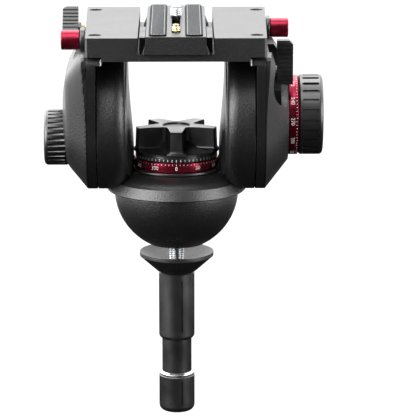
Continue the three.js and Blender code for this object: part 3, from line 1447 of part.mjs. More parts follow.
const cradle = groupAt(head, 0, 0, TILT_HEIGHT);
addTo(cradle, 'platform', platform(), castBlack);
addTo(cradle, 'right_side_plate', cut(rightSide(), leverStemBore()), castBlack);
addTo(cradle, 'left_side_plate', mirrored(rightSide()), castBlack);
addTo(cradle, 'left_dome', leftDome(), castBlack);
addTo(cradle, 'right_housing', rightHousing(), castBlack);
addTo(cradle, 'left_axle', tiltAxle(domeFlangeStart, -1), steel);
addTo(cradle, 'right_axle', tiltAxle(housingFlangeStart, 1), steel);
addTo(cradle, 'tilt_drag_rotor', rotorCup(), machined);
addTo(cradle, 'counterbalance_springs', springPack(), steel);
[['left', -1], ['right', 1]].forEach(([sideName, side]) => {
  cornerScrewPlaces(side).forEach(([x, y], i) => {
    const name = `${sideName}_${['front', 'rear'][i]}_screw`;
    addTo(cradle, name, moved(cornerScrew(), x, y, 0), steel);
  });
});
addTo(cradle, 'right_rosette', rosette(), machined);
addTo(cradle, 'left_rosette', mirrored(rosette()), machined);
addTo(cradle, 'tilt_red_ring', tiltRing(), red);
addTo(cradle, 'fixed_jaw', rightJaw(), knobBlack);
addTo(cradle, 'clamp_jaw', mirrored(rightJaw()), knobBlack);
addTo(cradle, 'left_bezel', buttonBezel(-1, LEFT_BUTTON_PLACE), knobBlack);
addTo(cradle, 'right_bezel', buttonBezel(1, RIGHT_BUTTON_PLACE), knobBlack);
addTo(cradle, 'left_button', redButton(-1, LEFT_BUTTON_PLACE), red);
addTo(cradle, 'right_button', redButton(1, RIGHT_BUTTON_PLACE), red);

const tiltKnobGroup = groupAt(cradle, bossEnd + TILT_RING + SEAT_GAP * 2, 0, 0);
addTo(tiltKnobGroup, 'tilt_drag_knob', tiltKnob(), knobBlack).rotation.y = QUARTER_TURN;

const counterPlace = domeEnd - KNOB_SEAT_DEPTH + SEAT_GAP;
const counterGroup = groupAt(cradle, -counterPlace, 0, -COUNTER_KNOB_DROP);
addTo(counterGroup, 'counterbalance_knob', counterKnob(), knobBlack).rotation.y = -QUARTER_TURN;

const tiltLever = groupAt(cradle, 0, TILT_LEVER_PLACE, TILT_LEVER_HEIGHT);
addTo(tiltLever, 'tilt_lock_lever', leverGrip(LEVER_UP, LEVER_DOWN), knobBlack);
addTo(tiltLever, 'tilt_lock_nut', leverNut(), brass);

const clampLever = groupAt(cradle, 0, CLAMP_LEVER_PLACE, CLAMP_LEVER_HEIGHT);
clampLever.rotation.x = radians(CLAMP_LEVER_LEAN);
addTo(clampLever, 'plate_clamp_lever', mirrored(leverGrip(CLAMP_LEVER_UP, LEVER_DOWN)), knobBlack);
addTo(clampLever, 'plate_clamp_nut', mirrored(leverNut()), brass);

const plate = groupAt(cradle, 0, 0, 0);
addTo(plate, 'sliding_plate', slidingPlate(), castBlack);
addTo(plate, 'right_pad', platePad(), rubber);
addTo(plate, 'left_pad', mirrored(platePad()), rubber);

const largeScrew = groupAt(plate, 0, LARGE_SCREW_PLACE, 0);
addTo(largeScrew, 'large_screw_carriage', screwCarriage(LARGE_NECK_RADIUS), steel);
addTo(largeScrew, 'large_camera_screw', cameraScrew(
  LARGE_SCREW_RADIUS, LARGE_SCREW_RISE, LARGE_HEAD_RADIUS, LARGE_NECK_RADIUS,
), steel);

const smallScrew = groupAt(plate, 0, SMALL_SCREW_PLACE, 0);
addTo(smallScrew, 'small_screw_carriage', screwCarriage(SMALL_NECK_RADIUS), steel);
addTo(smallScrew, 'small_camera_screw', cameraScrew(
  SMALL_SCREW_RADIUS, SMALL_SCREW_RISE, SMALL_HEAD_RADIUS, SMALL_NECK_RADIUS,
), brass);

export default head;
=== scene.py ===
from math import acos, asin, atan2, cos, hypot, pi, radians, sin

import bpy
from mathutils import Matrix, Vector


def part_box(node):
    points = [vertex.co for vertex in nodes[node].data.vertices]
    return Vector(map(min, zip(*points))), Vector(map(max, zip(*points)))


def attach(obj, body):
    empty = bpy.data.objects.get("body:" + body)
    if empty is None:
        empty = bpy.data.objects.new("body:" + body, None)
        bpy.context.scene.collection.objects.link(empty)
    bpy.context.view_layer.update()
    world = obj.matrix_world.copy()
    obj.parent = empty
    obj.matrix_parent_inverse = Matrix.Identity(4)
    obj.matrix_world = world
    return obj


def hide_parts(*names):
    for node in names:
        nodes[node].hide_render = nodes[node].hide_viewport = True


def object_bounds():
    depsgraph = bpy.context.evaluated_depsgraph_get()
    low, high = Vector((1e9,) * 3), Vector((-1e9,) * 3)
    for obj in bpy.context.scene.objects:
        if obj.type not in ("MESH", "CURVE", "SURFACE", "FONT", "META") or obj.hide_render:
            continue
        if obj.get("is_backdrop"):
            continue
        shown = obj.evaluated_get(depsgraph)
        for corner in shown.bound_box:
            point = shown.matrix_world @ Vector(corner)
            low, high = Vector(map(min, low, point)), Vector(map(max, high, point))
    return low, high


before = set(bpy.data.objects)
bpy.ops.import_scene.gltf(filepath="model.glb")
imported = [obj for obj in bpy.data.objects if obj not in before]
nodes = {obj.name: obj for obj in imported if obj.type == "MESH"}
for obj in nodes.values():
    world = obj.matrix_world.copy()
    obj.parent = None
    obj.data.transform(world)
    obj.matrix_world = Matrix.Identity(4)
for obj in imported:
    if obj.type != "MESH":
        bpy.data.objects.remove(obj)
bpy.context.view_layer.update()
MM = 0.001


# Camera, lamps and world
# The camera stands in front of the head and a little above it, with a long lens. The studio
# around it is a white tent: bright behind and at the left, weaker at the right, dim in front.
CAMERA_PLACE = (0.0036, -2.200, 0.48484)
CAMERA_YAW = 0.0107
CAMERA_PITCH = 0.2248
CAMERA_LENS = 238.41
CAMERA_SENSOR = 36.0

bpy.ops.object.select_all(action='DESELECT')
bpy.ops.object.camera_add(location=CAMERA_PLACE, rotation=(pi / 2 - CAMERA_PITCH, 0, -CAMERA_YAW))
camera = bpy.context.object
camera.name = 'photo_camera'
camera.data.lens = CAMERA_LENS
camera.data.sensor_width = CAMERA_SENSOR
camera.data.clip_start = 0.05
camera.data.clip_end = 60
bpy.context.scene.camera = camera
bpy.context.scene.view_settings.view_transform = 'Standard'


def linear(text):
    """An sRGB hex colour as linear light."""
    values = [int(text[i:i + 2], 16) / 255 for i in (1, 3, 5)]
    return tuple(v / 12.92 if v <= 0.04045 else ((v + 0.055) / 1.055) ** 2.4 for v in values) + (1.0,)


def add_node(tree, kind, inputs=None, **settings):
    """One shader node with its settings, and its inputs given as values or as sockets to link."""
    node = tree.nodes.new(kind)
    for name, value in settings.items():
        setattr(node, name, value)
    for name, value in (inputs or {}).items():
        if isinstance(value, bpy.types.NodeSocket):
            tree.links.new(value, node.inputs[name])
        else:
            node.inputs[name].default_value = value
    return node


def soft_lamp(name, place, target, size, power):
    """A square softbox that faces a point."""
    bpy.ops.object.light_add(type='AREA', location=place)
    lamp = bpy.context.object
    lamp.name = name
    lamp.rotation_euler = (Vector(target) - Vector(place)).to_track_quat('-Z', 'Y').to_euler()
    lamp.data.size = size
    lamp.data.energy = power


TENT_LEFT = 3.0
TENT_RIGHT = 1.9
TENT_DIM = 0.04
TENT_FRONT = -0.7
TENT_BACK = 0.15
WHITE = (1, 1, 1, 1)
LAMP_AIM = (0, 0, 0.06)
soft_lamp('left_lamp', (-1.65, -0.95, 0.6), (0, 0, 0.04), 1.5, 60)
soft_lamp('front_left_lamp', (-0.95, -1.75, 0.85), LAMP_AIM, 0.9, 14)
soft_lamp('rear_left_lamp', (-1.45, 1.2, 1.1), LAMP_AIM, 1.7, 27)
soft_lamp('rear_right_lamp', (1.6, 1.0, 1.2), LAMP_AIM, 1.3, 8)
soft_lamp('right_lamp', (1.75, -0.95, 0.45), LAMP_AIM, 1.3, 42)
soft_lamp('overhead_lamp', (0, 1.2, 1.9), LAMP_AIM, 1.4, 28)
soft_lamp('front_top_lamp', (-0.45, -0.95, 1.85), LAMP_AIM, 1.5, 30)
world = bpy.data.worlds.new('white_tent')
bpy.context.scene.world = world
world.use_nodes = True
tree = world.node_tree
tree.nodes.clear()
spot = add_node(tree, 'ShaderNodeTexCoord')
axes = add_node(tree, 'ShaderNodeSeparateXYZ', {'Vector': spot.outputs['Generated']})
across = add_node(tree, 'ShaderNodeMapRange', {
    'Value': axes.outputs['X'], 'From Min': -1.0, 'From Max': 1.0,
    'To Min': TENT_LEFT, 'To Max': TENT_RIGHT,
})
front = add_node(tree, 'ShaderNodeMapRange', {
    'Value': axes.outputs['Y'], 'From Min': TENT_FRONT, 'From Max': TENT_BACK,
    'To Min': TENT_DIM, 'To Max': across.outputs['Result'],
}, interpolation_type='SMOOTHSTEP')
path = add_node(tree, 'ShaderNodeLightPath')
tent = add_node(tree, 'ShaderNodeBackground', {'Color': WHITE, 'Strength': front.outputs['Result']})
white = add_node(tree, 'ShaderNodeBackground', {'Color': WHITE, 'Strength': 1.0})
both = add_node(tree, 'ShaderNodeMixShader', {
    0: path.outputs['Is Camera Ray'], 1: tent.outputs[0], 2: white.outputs[0],
})
add_node(tree, 'ShaderNodeOutputWorld', {'Surface': both.outputs[0]})


# Floor
# A plain white sheet under the head, which shows almost white and keeps a soft shadow. To the head
# it glows as painted light: a cove bright further out at both sides and behind, dark below and in front.
FLOOR_HEIGHT = -0.194
FLOOR_SIZE = 30
FLOOR_PAPER = (0.85, 0.85, 0.85, 1)
FLOOR_GLOW = 0.9
FLOOR_LEFT = 2.2
FLOOR_RIGHT = 1.3
FLOOR_DIM = 0.02
FLOOR_HALF_WIDTH = 1.2
FLOOR_NEAR = 0.45
FLOOR_FAR = 1.5
FLOOR_FRONT = -1.0
FLOOR_BACK = 0.2
bpy.ops.object.select_all(action='DESELECT')
bpy.ops.mesh.primitive_plane_add(size=FLOOR_SIZE, location=(0, 0, FLOOR_HEIGHT))
bpy.ops.object.transform_apply(location=True, rotation=True, scale=True)
floor_sheet = bpy.context.object
floor_sheet.name = 'studio_floor'
paper = bpy.data.materials.new('white_paper')
paper.use_nodes = True
tree = paper.node_tree
tree.nodes.clear()
glow = add_node(tree, 'ShaderNodeEmission', {'Color': WHITE, 'Strength': 1.0})
path = add_node(tree, 'ShaderNodeLightPath')
diffuse = add_node(tree, 'ShaderNodeBsdfDiffuse', {'Color': FLOOR_PAPER})
seen = add_node(tree, 'ShaderNodeMixShader', {0: FLOOR_GLOW, 1: diffuse.outputs[0], 2: glow.outputs[0]})
spot = add_node(tree, 'ShaderNodeTexCoord')
axes = add_node(tree, 'ShaderNodeSeparateXYZ', {'Vector': spot.outputs['Object']})
across = add_node(tree, 'ShaderNodeMapRange', {
    'Value': axes.outputs['X'], 'From Min': -FLOOR_HALF_WIDTH, 'From Max': FLOOR_HALF_WIDTH,
    'To Min': FLOOR_LEFT, 'To Max': FLOOR_RIGHT,
})
away = add_node(tree, 'ShaderNodeVectorMath', {0: spot.outputs['Object']}, operation='LENGTH')
distant = add_node(tree, 'ShaderNodeMapRange', {
    'Value': away.outputs['Value'], 'From Min': FLOOR_NEAR, 'From Max': FLOOR_FAR,
    'To Min': FLOOR_DIM, 'To Max': across.outputs['Result'],
}, interpolation_type='SMOOTHSTEP')
front = add_node(tree, 'ShaderNodeMapRange', {
    'Value': axes.outputs['Y'], 'From Min': FLOOR_FRONT, 'From Max': FLOOR_BACK,
    'To Min': FLOOR_DIM, 'To Max': distant.outputs['Result'],
}, interpolation_type='SMOOTHSTEP')
# Painted light: for all rays but the camera's the sheet glows, brighter further out at both sides and
# behind, dark below and in front.
painted_floor_glow = add_node(tree, 'ShaderNodeEmission', {'Color': WHITE, 'Strength': front.outputs['Result']})
both = add_node(tree, 'ShaderNodeMixShader', {
    0: path.outputs['Is Camera Ray'], 1: painted_floor_glow.outputs[0], 2: seen.outputs[0],
})
add_node(tree, 'ShaderNodeOutputMaterial', {'Surface': both.outputs[0]})
floor_sheet.data.materials.append(paper)
floor_sheet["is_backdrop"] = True


# Half ball
# Cast aluminium, turned outside to fit a 100 mm bowl, and powder coated satin black.
# It is one turned shell with a boss for the pan shaft.
BALL_RADIUS = 50
BALL_WALL = 6
BALL_FLAT = 22
BALL_BOSS = 27
BOSS_TOP = -8
PAN_SEAM = 0.4
STUD_RADIUS = 6
STUD_SEAT = -22.3
SHAFT_RADIUS = 9
FIT = 0.3
AXES = {'X': (1, 0, 0), 'Y': (0, 1, 0), 'Z': (0, 0, 1)}


def base_tree(name):
    """A new material with an empty tree, and its object coordinates."""
    material = bpy.data.materials.new(name)
    material.use_nodes = True
    material.node_tree.nodes.clear()
    place = add_node(material.node_tree, 'ShaderNodeTexCoord').outputs['Object']
    return material, material.node_tree, place


def powder_coat(name, dark, light, roughness, grain_mm, depth_mm):
    """Baked powder coat: a fine pebbled skin over cast metal, dark, with a broad soft sheen."""
    material, tree, place = base_tree(name)
    grain = add_node(tree, 'ShaderNodeTexNoise', {
        'Vector': place, 'Scale': 1 / (grain_mm * MM), 'Detail': 3.0, 'Roughness': 0.6,
    })
    cloud = add_node(tree, 'ShaderNodeTexNoise', {'Vector': place, 'Scale': 1 / (28 * MM), 'Detail': 2.0})
    tone = add_node(tree, 'ShaderNodeMapRange', {
        'Value': grain.outputs['Fac'], 'From Min': 0.35, 'From Max': 0.65,
    })
    colour = add_node(tree, 'ShaderNodeMix', {
        'Factor': tone.outputs['Result'], 'A': linear(dark), 'B': linear(light),
    }, data_type='RGBA')
    sheen = add_node(tree, 'ShaderNodeMapRange', {
        'Value': cloud.outputs['Fac'], 'From Min': 0.3, 'From Max': 0.7,
        'To Min': roughness - 0.01, 'To Max': roughness + 0.01,
    })
    bump = add_node(tree, 'ShaderNodeBump', {
        'Strength': 1.0, 'Distance': depth_mm * MM, 'Height': grain.outputs['Fac'],
    })
    skin = add_node(tree, 'ShaderNodeBsdfPrincipled', {
        'Base Color': colour.outputs['Result'], 'Roughness': sheen.outputs['Result'],
        'Normal': bump.outputs['Normal'], 'IOR': 1.6, 'Specular IOR Level': 0.6,
    })
    add_node(tree, 'ShaderNodeOutputMaterial', {'Surface': skin.outputs[0]})
    return material


# The pebbles of a real coat are about half a millimetre wide; they are drawn three times coarser
# so that they show at the photo's size.
powder_black = powder_coat('satin_black_powder_coat', '#050506', '#101011', 0.4, 1.4, 0.3)


def only(piece):
    """One piece selected and active."""
    bpy.ops.object.select_all(action='DESELECT')
    piece.select_set(True)
    bpy.context.view_layer.objects.active = piece


def close_mesh(piece, threshold=3e-6):
    """Doubles merged and faces turned outwards."""
    only(piece)
    bpy.ops.object.mode_set(mode='EDIT')
    bpy.ops.mesh.select_all(action='SELECT')
    bpy.ops.mesh.remove_doubles(threshold=threshold)
    bpy.ops.mesh.normals_make_consistent(inside=False)
    bpy.ops.object.mode_set(mode='OBJECT')
    return piece


def drawn_line(name, points):
    """A line of points in mm, drawn by extruding one vertex, and left in edit mode."""
    bpy.ops.object.select_all(action='DESELECT')
    bpy.ops.mesh.primitive_plane_add(size=MM)
    piece = bpy.context.object
    piece.name = name
    bpy.ops.object.mode_set(mode='EDIT')
    bpy.ops.mesh.select_all(action='SELECT')
    bpy.ops.mesh.merge(type='CENTER')
    place = Vector(points[0]) * MM
    bpy.ops.transform.translate(value=place)
    for point in points[1:]:
        step = Vector(point) * MM - place
        bpy.ops.mesh.extrude_vertices_move(TRANSFORM_OT_translate={'value': step})
        place = place + step
    bpy.ops.mesh.select_all(action='SELECT')
    return piece


def turned_piece(name, profile, steps=96, about='Z', centre=(0, 0, 0)):
    """A turned piece in mm: its half profile is drawn point by point and spun about an axis."""
    x, y, z = centre
    if about == 'Z':
        spots = [(x + radius, y, z + along) for radius, along in profile]
    elif about == 'X':
        spots = [(x + along, y, z + radius) for radius, along in profile]
    else:
        spots = [(x + radius, y + along, z) for radius, along in profile]
    piece = drawn_line(name, spots)
    middle = Vector(centre) * MM
    bpy.ops.mesh.spin(steps=steps, dupli=False, angle=2 * pi, center=middle, axis=AXES[about])
    bpy.ops.object.mode_set(mode='OBJECT')
    return close_mesh(piece)


def finish_edges(piece, width, segments=2, limit=30, smooth=30):
    """Small rounds on the sharp edges, and smooth shading between them."""
    only(piece)
    if width:
        rounds = piece.modifiers.new('rounds', 'BEVEL')
        rounds.width = width * MM
        rounds.segments = segments
        rounds.limit_method = 'ANGLE'
        rounds.angle_limit = radians(limit)
        rounds.miter_outer = 'MITER_ARC'
        bpy.ops.object.modifier_apply(modifier=rounds.name)
    bpy.ops.object.shade_smooth_by_angle(angle=radians(smooth))
    evened = piece.modifiers.new('evened', 'WEIGHTED_NORMAL')
    evened.keep_sharp = True
    bpy.ops.object.modifier_apply(modifier=evened.name)
    return piece


def dress(piece, material, body, slot, *replaced):
    """The piece gets its finish, rides on its body and stands for its nodes."""
    piece.data.materials.clear()
    piece.data.materials.append(material)
    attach(piece, body)
    if replaced:
        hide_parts(*replaced)
    return piece


def arc_points(centre_a, centre_b, radius, start, end, steps):
    """Points of an arc, in a profile's two directions."""
    angles = [start + (end - start) * i / steps for i in range(steps + 1)]
    return [(centre_a + radius * cos(a), centre_b + radius * sin(a)) for a in angles]


rim = asin(PAN_SEAM / BALL_RADIUS)
inner_radius = BALL_RADIUS - BALL_WALL
inner_low = -acos(BALL_BOSS / inner_radius)
inner_high = -asin(PAN_SEAM / inner_radius)
outside = arc_points(0, 0, BALL_RADIUS, -rim, -acos(BALL_FLAT / BALL_RADIUS), 26)
ball = turned_piece('half_ball_shell', outside + [
    (STUD_RADIUS + FIT, outside[-1][1]), (STUD_RADIUS + FIT, STUD_SEAT), (SHAFT_RADIUS + FIT, STUD_SEAT),
    (SHAFT_RADIUS + FIT, BOSS_TOP), (BALL_BOSS, BOSS_TOP),
    *arc_points(0, 0, inner_radius, inner_low, inner_high, 10), outside[0],
], 128)
dress(finish_edges(ball, 0.4), powder_black, 'base', 'satin_black', 'half_ball')


# Pan shaft, nut, bearing and pan drag
# Turned aluminium and ground steel, closed in by the housing. They are pressed and screwed
# together on the pan axis, and only fine tool lines show on them.
def dimmed(colour, share):
    """A colour at a share of its light."""
    return tuple(v * share for v in colour[:3]) + (1.0,)


def tooled_metal(name, colour, roughness, line_mm, lines='Z'):
    """Turned or ground metal: fine tool lines across one axis give it a silky streak."""
    material, tree, place = base_tree(name)
    stretch = [90.0, 90.0, 90.0]
    stretch['XYZ'.index(lines)] = 1 / (line_mm * MM)
    along = add_node(tree, 'ShaderNodeMapping', {'Vector': place, 'Scale': stretch})
    cuts = add_node(tree, 'ShaderNodeTexNoise', {
        'Vector': along.outputs['Vector'], 'Scale': 1.0, 'Detail': 2.0,
    })
    worn = add_node(tree, 'ShaderNodeTexNoise', {'Vector': place, 'Scale': 1 / (9 * MM), 'Detail': 3.0})
    tone = add_node(tree, 'ShaderNodeMapRange', {
        'Value': cuts.outputs['Fac'], 'From Min': 0.35, 'From Max': 0.65, 'To Min': 0.0, 'To Max': 0.35,
    })
    tint = linear(colour)
    shade = add_node(tree, 'ShaderNodeMix', {
        'Factor': tone.outputs['Result'], 'A': tint, 'B': dimmed(tint, 0.62),
    }, data_type='RGBA')
    rough = add_node(tree, 'ShaderNodeMapRange', {
        'Value': worn.outputs['Fac'], 'From Min': 0.3, 'From Max': 0.7,
        'To Min': roughness - 0.04, 'To Max': roughness + 0.06,
    })
    bump = add_node(tree, 'ShaderNodeBump', {
        'Strength': 0.35, 'Distance': line_mm * 0.06 * MM, 'Height': cuts.outputs['Fac'],
    })
    skin = add_node(tree, 'ShaderNodeBsdfPrincipled', {
        'Base Color': shade.outputs['Result'], 'Roughness': rough.outputs['Result'],
        'Normal': bump.outputs['Normal'], 'Metallic': 1.0,
    })
    add_node(tree, 'ShaderNodeOutputMaterial', {'Surface': skin.outputs[0]})
    return material


def finish_nodes(material, *names):
    """A CAD node whose shape is right gets its real finish."""
    for name in names:
        for place in nodes[name].material_slots:
            place.material = material


turned_aluminium = tooled_metal('turned_aluminium', '#9a9c9f', 0.34, 0.35)
ground_steel = tooled_metal('ground_steel', '#b2b4b7', 0.27, 0.3)
finish_nodes(turned_aluminium, 'pan_shaft', 'pan_drag_rotor', 'pan_drag_cup')
finish_nodes(ground_steel, 'shaft_nut', 'pan_bearing')


# Tie-down stud, clamp cup and handle
# A steel stud with an M12 thread hangs from the ball. A cast cup and a long moulded handle
# with a bright collar run on it, and the handle has four long grooves for the fingers.
STUD_TOP = -22.6
STUD_PITCH = 1.75
STUD_DEPTH = 0.95
STUD_END = -131
THREAD_START = -24
CUP_RADIUS = 30
CUP_BASE = -68.3
CUP_FOOT = 15.2
CUP_RIM = 3.4
CUP_SEAT_RADIUS = 60
SLEEVE_RADIUS = 14.5
SLEEVE_END = -124.9
SLEEVE_ROUND = 3.4
NECK_RADIUS = 12
NECK_END = -152.4
COLLAR_HEIGHT = 2.6
GRIP_END = -186.4
GRIP_ROUND = 5
GROOVE_WIDTH = 2.2
GROOVE_DEPTH = 0.9
GROOVE_TURN = radians(15.4)


def thread_points(radius, depth, pitch, start, end):
    """The zigzag of a thread's crests and roots, from one end to the other."""
    count = int(abs(end - start) / pitch)
    way = 1 if end > start else -1
    points = []
    for i in range(count):
        points.append((radius - depth, start + way * pitch * i))
        points.append((radius, start + way * pitch * (i + 0.5)))
    return points + [(radius - depth, start + way * pitch * count)]


thread = thread_points(STUD_RADIUS, STUD_DEPTH, STUD_PITCH, THREAD_START, STUD_END + 2)
root = STUD_RADIUS - STUD_DEPTH
stud = turned_piece('tie_down_stud_threaded', [
    (0, STUD_TOP), (root, STUD_TOP), *thread, (root - 1, STUD_END), (0, STUD_END),
], 40)
dress(finish_edges(stud, 0, smooth=35), ground_steel, 'base', 'bright_steel', 'tie_down_stud')

bore = STUD_RADIUS + FIT
seat_start = -acos(CUP_RADIUS / CUP_SEAT_RADIUS)
seat = arc_points(0, 0, CUP_SEAT_RADIUS, seat_start, -acos(bore / CUP_SEAT_RADIUS), 14)
rim_height = seat[0][1]
cup = turned_piece('clamp_cup_cast', seat + [
    (bore, CUP_BASE), (CUP_FOOT, CUP_BASE), (CUP_FOOT + 1.2, CUP_BASE + 0.8),
    (CUP_RADIUS - 1, rim_height - CUP_RIM - 0.8), (CUP_RADIUS, rim_height - CUP_RIM), seat[0],
])
dress(finish_edges(cup, 0.3), powder_black, 'clamp', 'satin_black', 'clamp_cup')


def moulded_plastic(name, dark, light, roughness, grain_mm, depth_mm):
    """Moulded glass-filled nylon: black, with a fine spark-eroded texture and a low gloss."""
    material, tree, place = base_tree(name)
    grain = add_node(tree, 'ShaderNodeTexNoise', {
        'Vector': place, 'Scale': 1 / (grain_mm * MM), 'Detail': 4.0, 'Roughness': 0.65,
    })
    cloud = add_node(tree, 'ShaderNodeTexNoise', {'Vector': place, 'Scale': 1 / (14 * MM), 'Detail': 3.0})
    colour = add_node(tree, 'ShaderNodeMix', {
        'Factor': cloud.outputs['Fac'], 'A': linear(dark), 'B': linear(light),
    }, data_type='RGBA')
    sheen = add_node(tree, 'ShaderNodeMapRange', {
        'Value': cloud.outputs['Fac'], 'From Min': 0.3, 'From Max': 0.7,
        'To Min': roughness - 0.05, 'To Max': roughness + 0.06,
    })
    bump = add_node(tree, 'ShaderNodeBump', {
        'Strength': 0.45, 'Distance': depth_mm * MM, 'Height': grain.outputs['Fac'],
    })
    skin = add_node(tree, 'ShaderNodeBsdfPrincipled', {
        'Base Color': colour.outputs['Result'], 'Roughness': sheen.outputs['Result'],
        'Normal': bump.outputs['Normal'], 'IOR': 1.55, 'Specular IOR Level': 0.8,
    })
    add_node(tree, 'ShaderNodeOutputMaterial', {'Surface': skin.outputs[0]})
    return material


grip_plastic = moulded_plastic('moulded_black_nylon', '#0c0c0c', '#161617', 0.34, 0.5, 0.03)


def outline_piece(name, outline, near, far, across='X'):
    """An outline in mm, drawn point by point, filled, and extruded along an axis."""
    if across == 'X':
        spots = [(near, a, b) for a, b in outline]
        reach = (far - near, 0, 0)
    elif across == 'Y':
        spots = [(a, near, b) for a, b in outline]
        reach = (0, far - near, 0)
    else:
        spots = [(a, b, near) for a, b in outline]
        reach = (0, 0, far - near)
    piece = drawn_line(name, spots)
    bpy.ops.mesh.edge_face_add()
    bpy.ops.mesh.extrude_region_move(TRANSFORM_OT_translate={'value': Vector(reach) * MM})
    bpy.ops.object.mode_set(mode='OBJECT')
    return close_mesh(piece)


def rounded_box(half_a, half_b, corner, steps=5):
    """Points round a rounded rectangle that is centred on zero."""
    centres = [(1, 1, 0), (-1, 1, pi / 2), (-1, -1, pi), (1, -1, 3 * pi / 2)]
    points = []
    for a, b, start in centres:
        middle = (a * (half_a - corner), b * (half_b - corner))
        points += arc_points(*middle, corner, start, start + pi / 2, steps)
    return points


def shifted(outline, a, b):
    """The outline moved by two distances."""
    return [(x + a, y + b) for x, y in outline]


def carve(piece, tool, way='DIFFERENCE'):
    """The tool is cut from the piece, or joined to it, and taken away; slivers are merged."""
    only(piece)
    change = piece.modifiers.new('carving', 'BOOLEAN')
    change.operation = way
    change.solver = 'EXACT'
    change.object = tool
    bpy.ops.object.modifier_apply(modifier=change.name)
    bpy.data.objects.remove(tool, do_unlink=True)
    return close_mesh(piece, 1e-5)


def repeat_round(piece, count, about='Z', centre=(0, 0, 0)):
    """Copies of a shape, spaced evenly round an axis, in the same piece."""
    only(piece)
    bpy.ops.object.mode_set(mode='EDIT')
    bpy.ops.mesh.select_all(action='SELECT')
    middle = Vector(centre) * MM
    bpy.ops.mesh.spin(steps=count, dupli=True, angle=2 * pi, center=middle, axis=AXES[about])
    bpy.ops.object.mode_set(mode='OBJECT')
    return close_mesh(piece, 2e-6)


def finger_grooves(low, high):
    """Cutters for the four grooves: long, with round ends, turned to where the first one shows."""
    half = GROOVE_WIDTH / 2
    outline = shifted(rounded_box(half, (high - low) / 2, half - 0.01), 0, (low + high) / 2)
    cutter = outline_piece('groove_cutter', outline, SLEEVE_RADIUS - GROOVE_DEPTH, SLEEVE_RADIUS + 2)
    cutter.data.transform(Matrix.Rotation(GROOVE_TURN - pi / 2, 4, 'Z'))
    return repeat_round(cutter, 4)


top = CUP_BASE - FIT
corner = (SLEEVE_RADIUS - SLEEVE_ROUND, SLEEVE_END + SLEEVE_ROUND)
sleeve = turned_piece('handle_sleeve_moulded', [
    (bore, top), (SLEEVE_RADIUS - 1, top), (SLEEVE_RADIUS, top - 1),
    *arc_points(*corner, SLEEVE_ROUND, 0, -pi / 2 * 0.8, 8), (NECK_RADIUS, SLEEVE_END - 0.1),
    (NECK_RADIUS, NECK_END), (bore, NECK_END), (bore, top),
])
carve(sleeve, finger_grooves(SLEEVE_END + 6, top - 6))
dress(finish_edges(sleeve, 0.25, limit=40), grip_plastic, 'handle', 'knob_black', 'handle_sleeve')

collar_top = NECK_END - FIT
collar_low = collar_top - COLLAR_HEIGHT
collar = turned_piece('handle_collar_bright', [
    (STUD_RADIUS, collar_top), (NECK_RADIUS, collar_top), (SLEEVE_RADIUS - 0.5, collar_top - 1.5),
    (SLEEVE_RADIUS - 0.5, collar_low), (STUD_RADIUS, collar_low), (STUD_RADIUS, collar_top),
])
polished_aluminium = tooled_metal('polished_aluminium', '#c6c8ca', 0.2, 0.4)
dress(finish_edges(collar, 0.2), polished_aluminium, 'handle', 'machined_grey', 'handle_collar')

grip_top = NECK_END - FIT * 2 - COLLAR_HEIGHT
corner = (SLEEVE_RADIUS - GRIP_ROUND, GRIP_END + GRIP_ROUND)
grip = turned_piece('handle_grip_moulded', [
    (0, grip_top), (SLEEVE_RADIUS - 0.6, grip_top), (SLEEVE_RADIUS, grip_top - 0.8),
    *arc_points(*corner, GRIP_ROUND, 0, -pi / 2, 12), (0, GRIP_END),
])
carve(grip, finger_grooves(GRIP_END + 6, grip_top - 3))
dress(finish_edges(grip, 0.25, limit=40), grip_plastic, 'handle', 'knob_black', 'handle_grip')


# Pan housing
# Cast aluminium, powder coated: a flange band over the ball, a rounded cone, and a lug at the
# back for the bubble level and the pan lock. It turns on the pan shaft.
HOUSING_RADIUS = 56
BAND_TOP_RADIUS = 53
BAND_TOP = 9.5
CONE_TOP_RADIUS = 40
CONE_TOP = 17
HOUSING_FLOOR = 6
POCKET_RADIUS = 35.2
PAN_BEARING_BORE = 17.3
PAN_BEARING_SEAT = PAN_SEAM + 1.5
SHAFT_BORE = 12
CAST_SHOULDER = [(51.1, 11.1), (49.7, 12.4), (47.8, 13.8), (45.4, 15.1), (43, 16.1), (41, 16.7)]
LUG_HALF = 24
LUG_FRONT = 42
LUG_BACK = 58
LUG_CORNER = 4
LUG_BOTTOM = 2.5
LUG_TOP = 14.5
LEVEL_PLACE = (-12, 49.5)
LEVEL_RADIUS = 8
LEVEL_FLOOR = 10.5
LOCK_PLACE = 12
LOCK_HEIGHT = 8.5
STEM_BORE = 2.9


def round_cutter(name, radius, place, low, high, about='Z', steps=48):
    """A round bar in mm from one distance to another along an axis, to carve with."""
    return turned_piece(name, [(0, low), (radius, low), (radius, high), (0, high)], steps, about, place)


housing = turned_piece('pan_housing_cast', [
    (PAN_BEARING_BORE, PAN_SEAM), (HOUSING_RADIUS - 0.7, PAN_SEAM), (HOUSING_RADIUS, PAN_SEAM + 0.7),
    (BAND_TOP_RADIUS + 0.15, BAND_TOP - 0.5), (BAND_TOP_RADIUS - 0.3, BAND_TOP + 0.1),
    (BAND_TOP_RADIUS - 0.9, BAND_TOP + 0.4), *CAST_SHOULDER, (CONE_TOP_RADIUS, CONE_TOP),
    (POCKET_RADIUS, CONE_TOP), (POCKET_RADIUS, HOUSING_FLOOR), (SHAFT_BORE, HOUSING_FLOOR),
    (SHAFT_BORE, PAN_BEARING_SEAT), (PAN_BEARING_BORE, PAN_BEARING_SEAT), (PAN_BEARING_BORE, PAN_SEAM),
], 160)
lug = outline_piece('lug_block', [
    (-LUG_HALF, LUG_FRONT), (LUG_HALF, LUG_FRONT), (LUG_HALF, LUG_BACK - LUG_CORNER),
    (LUG_HALF - LUG_CORNER, LUG_BACK), (LUG_CORNER - LUG_HALF, LUG_BACK), (-LUG_HALF, LUG_BACK - LUG_CORNER),
], LUG_BOTTOM, LUG_TOP, 'Z')
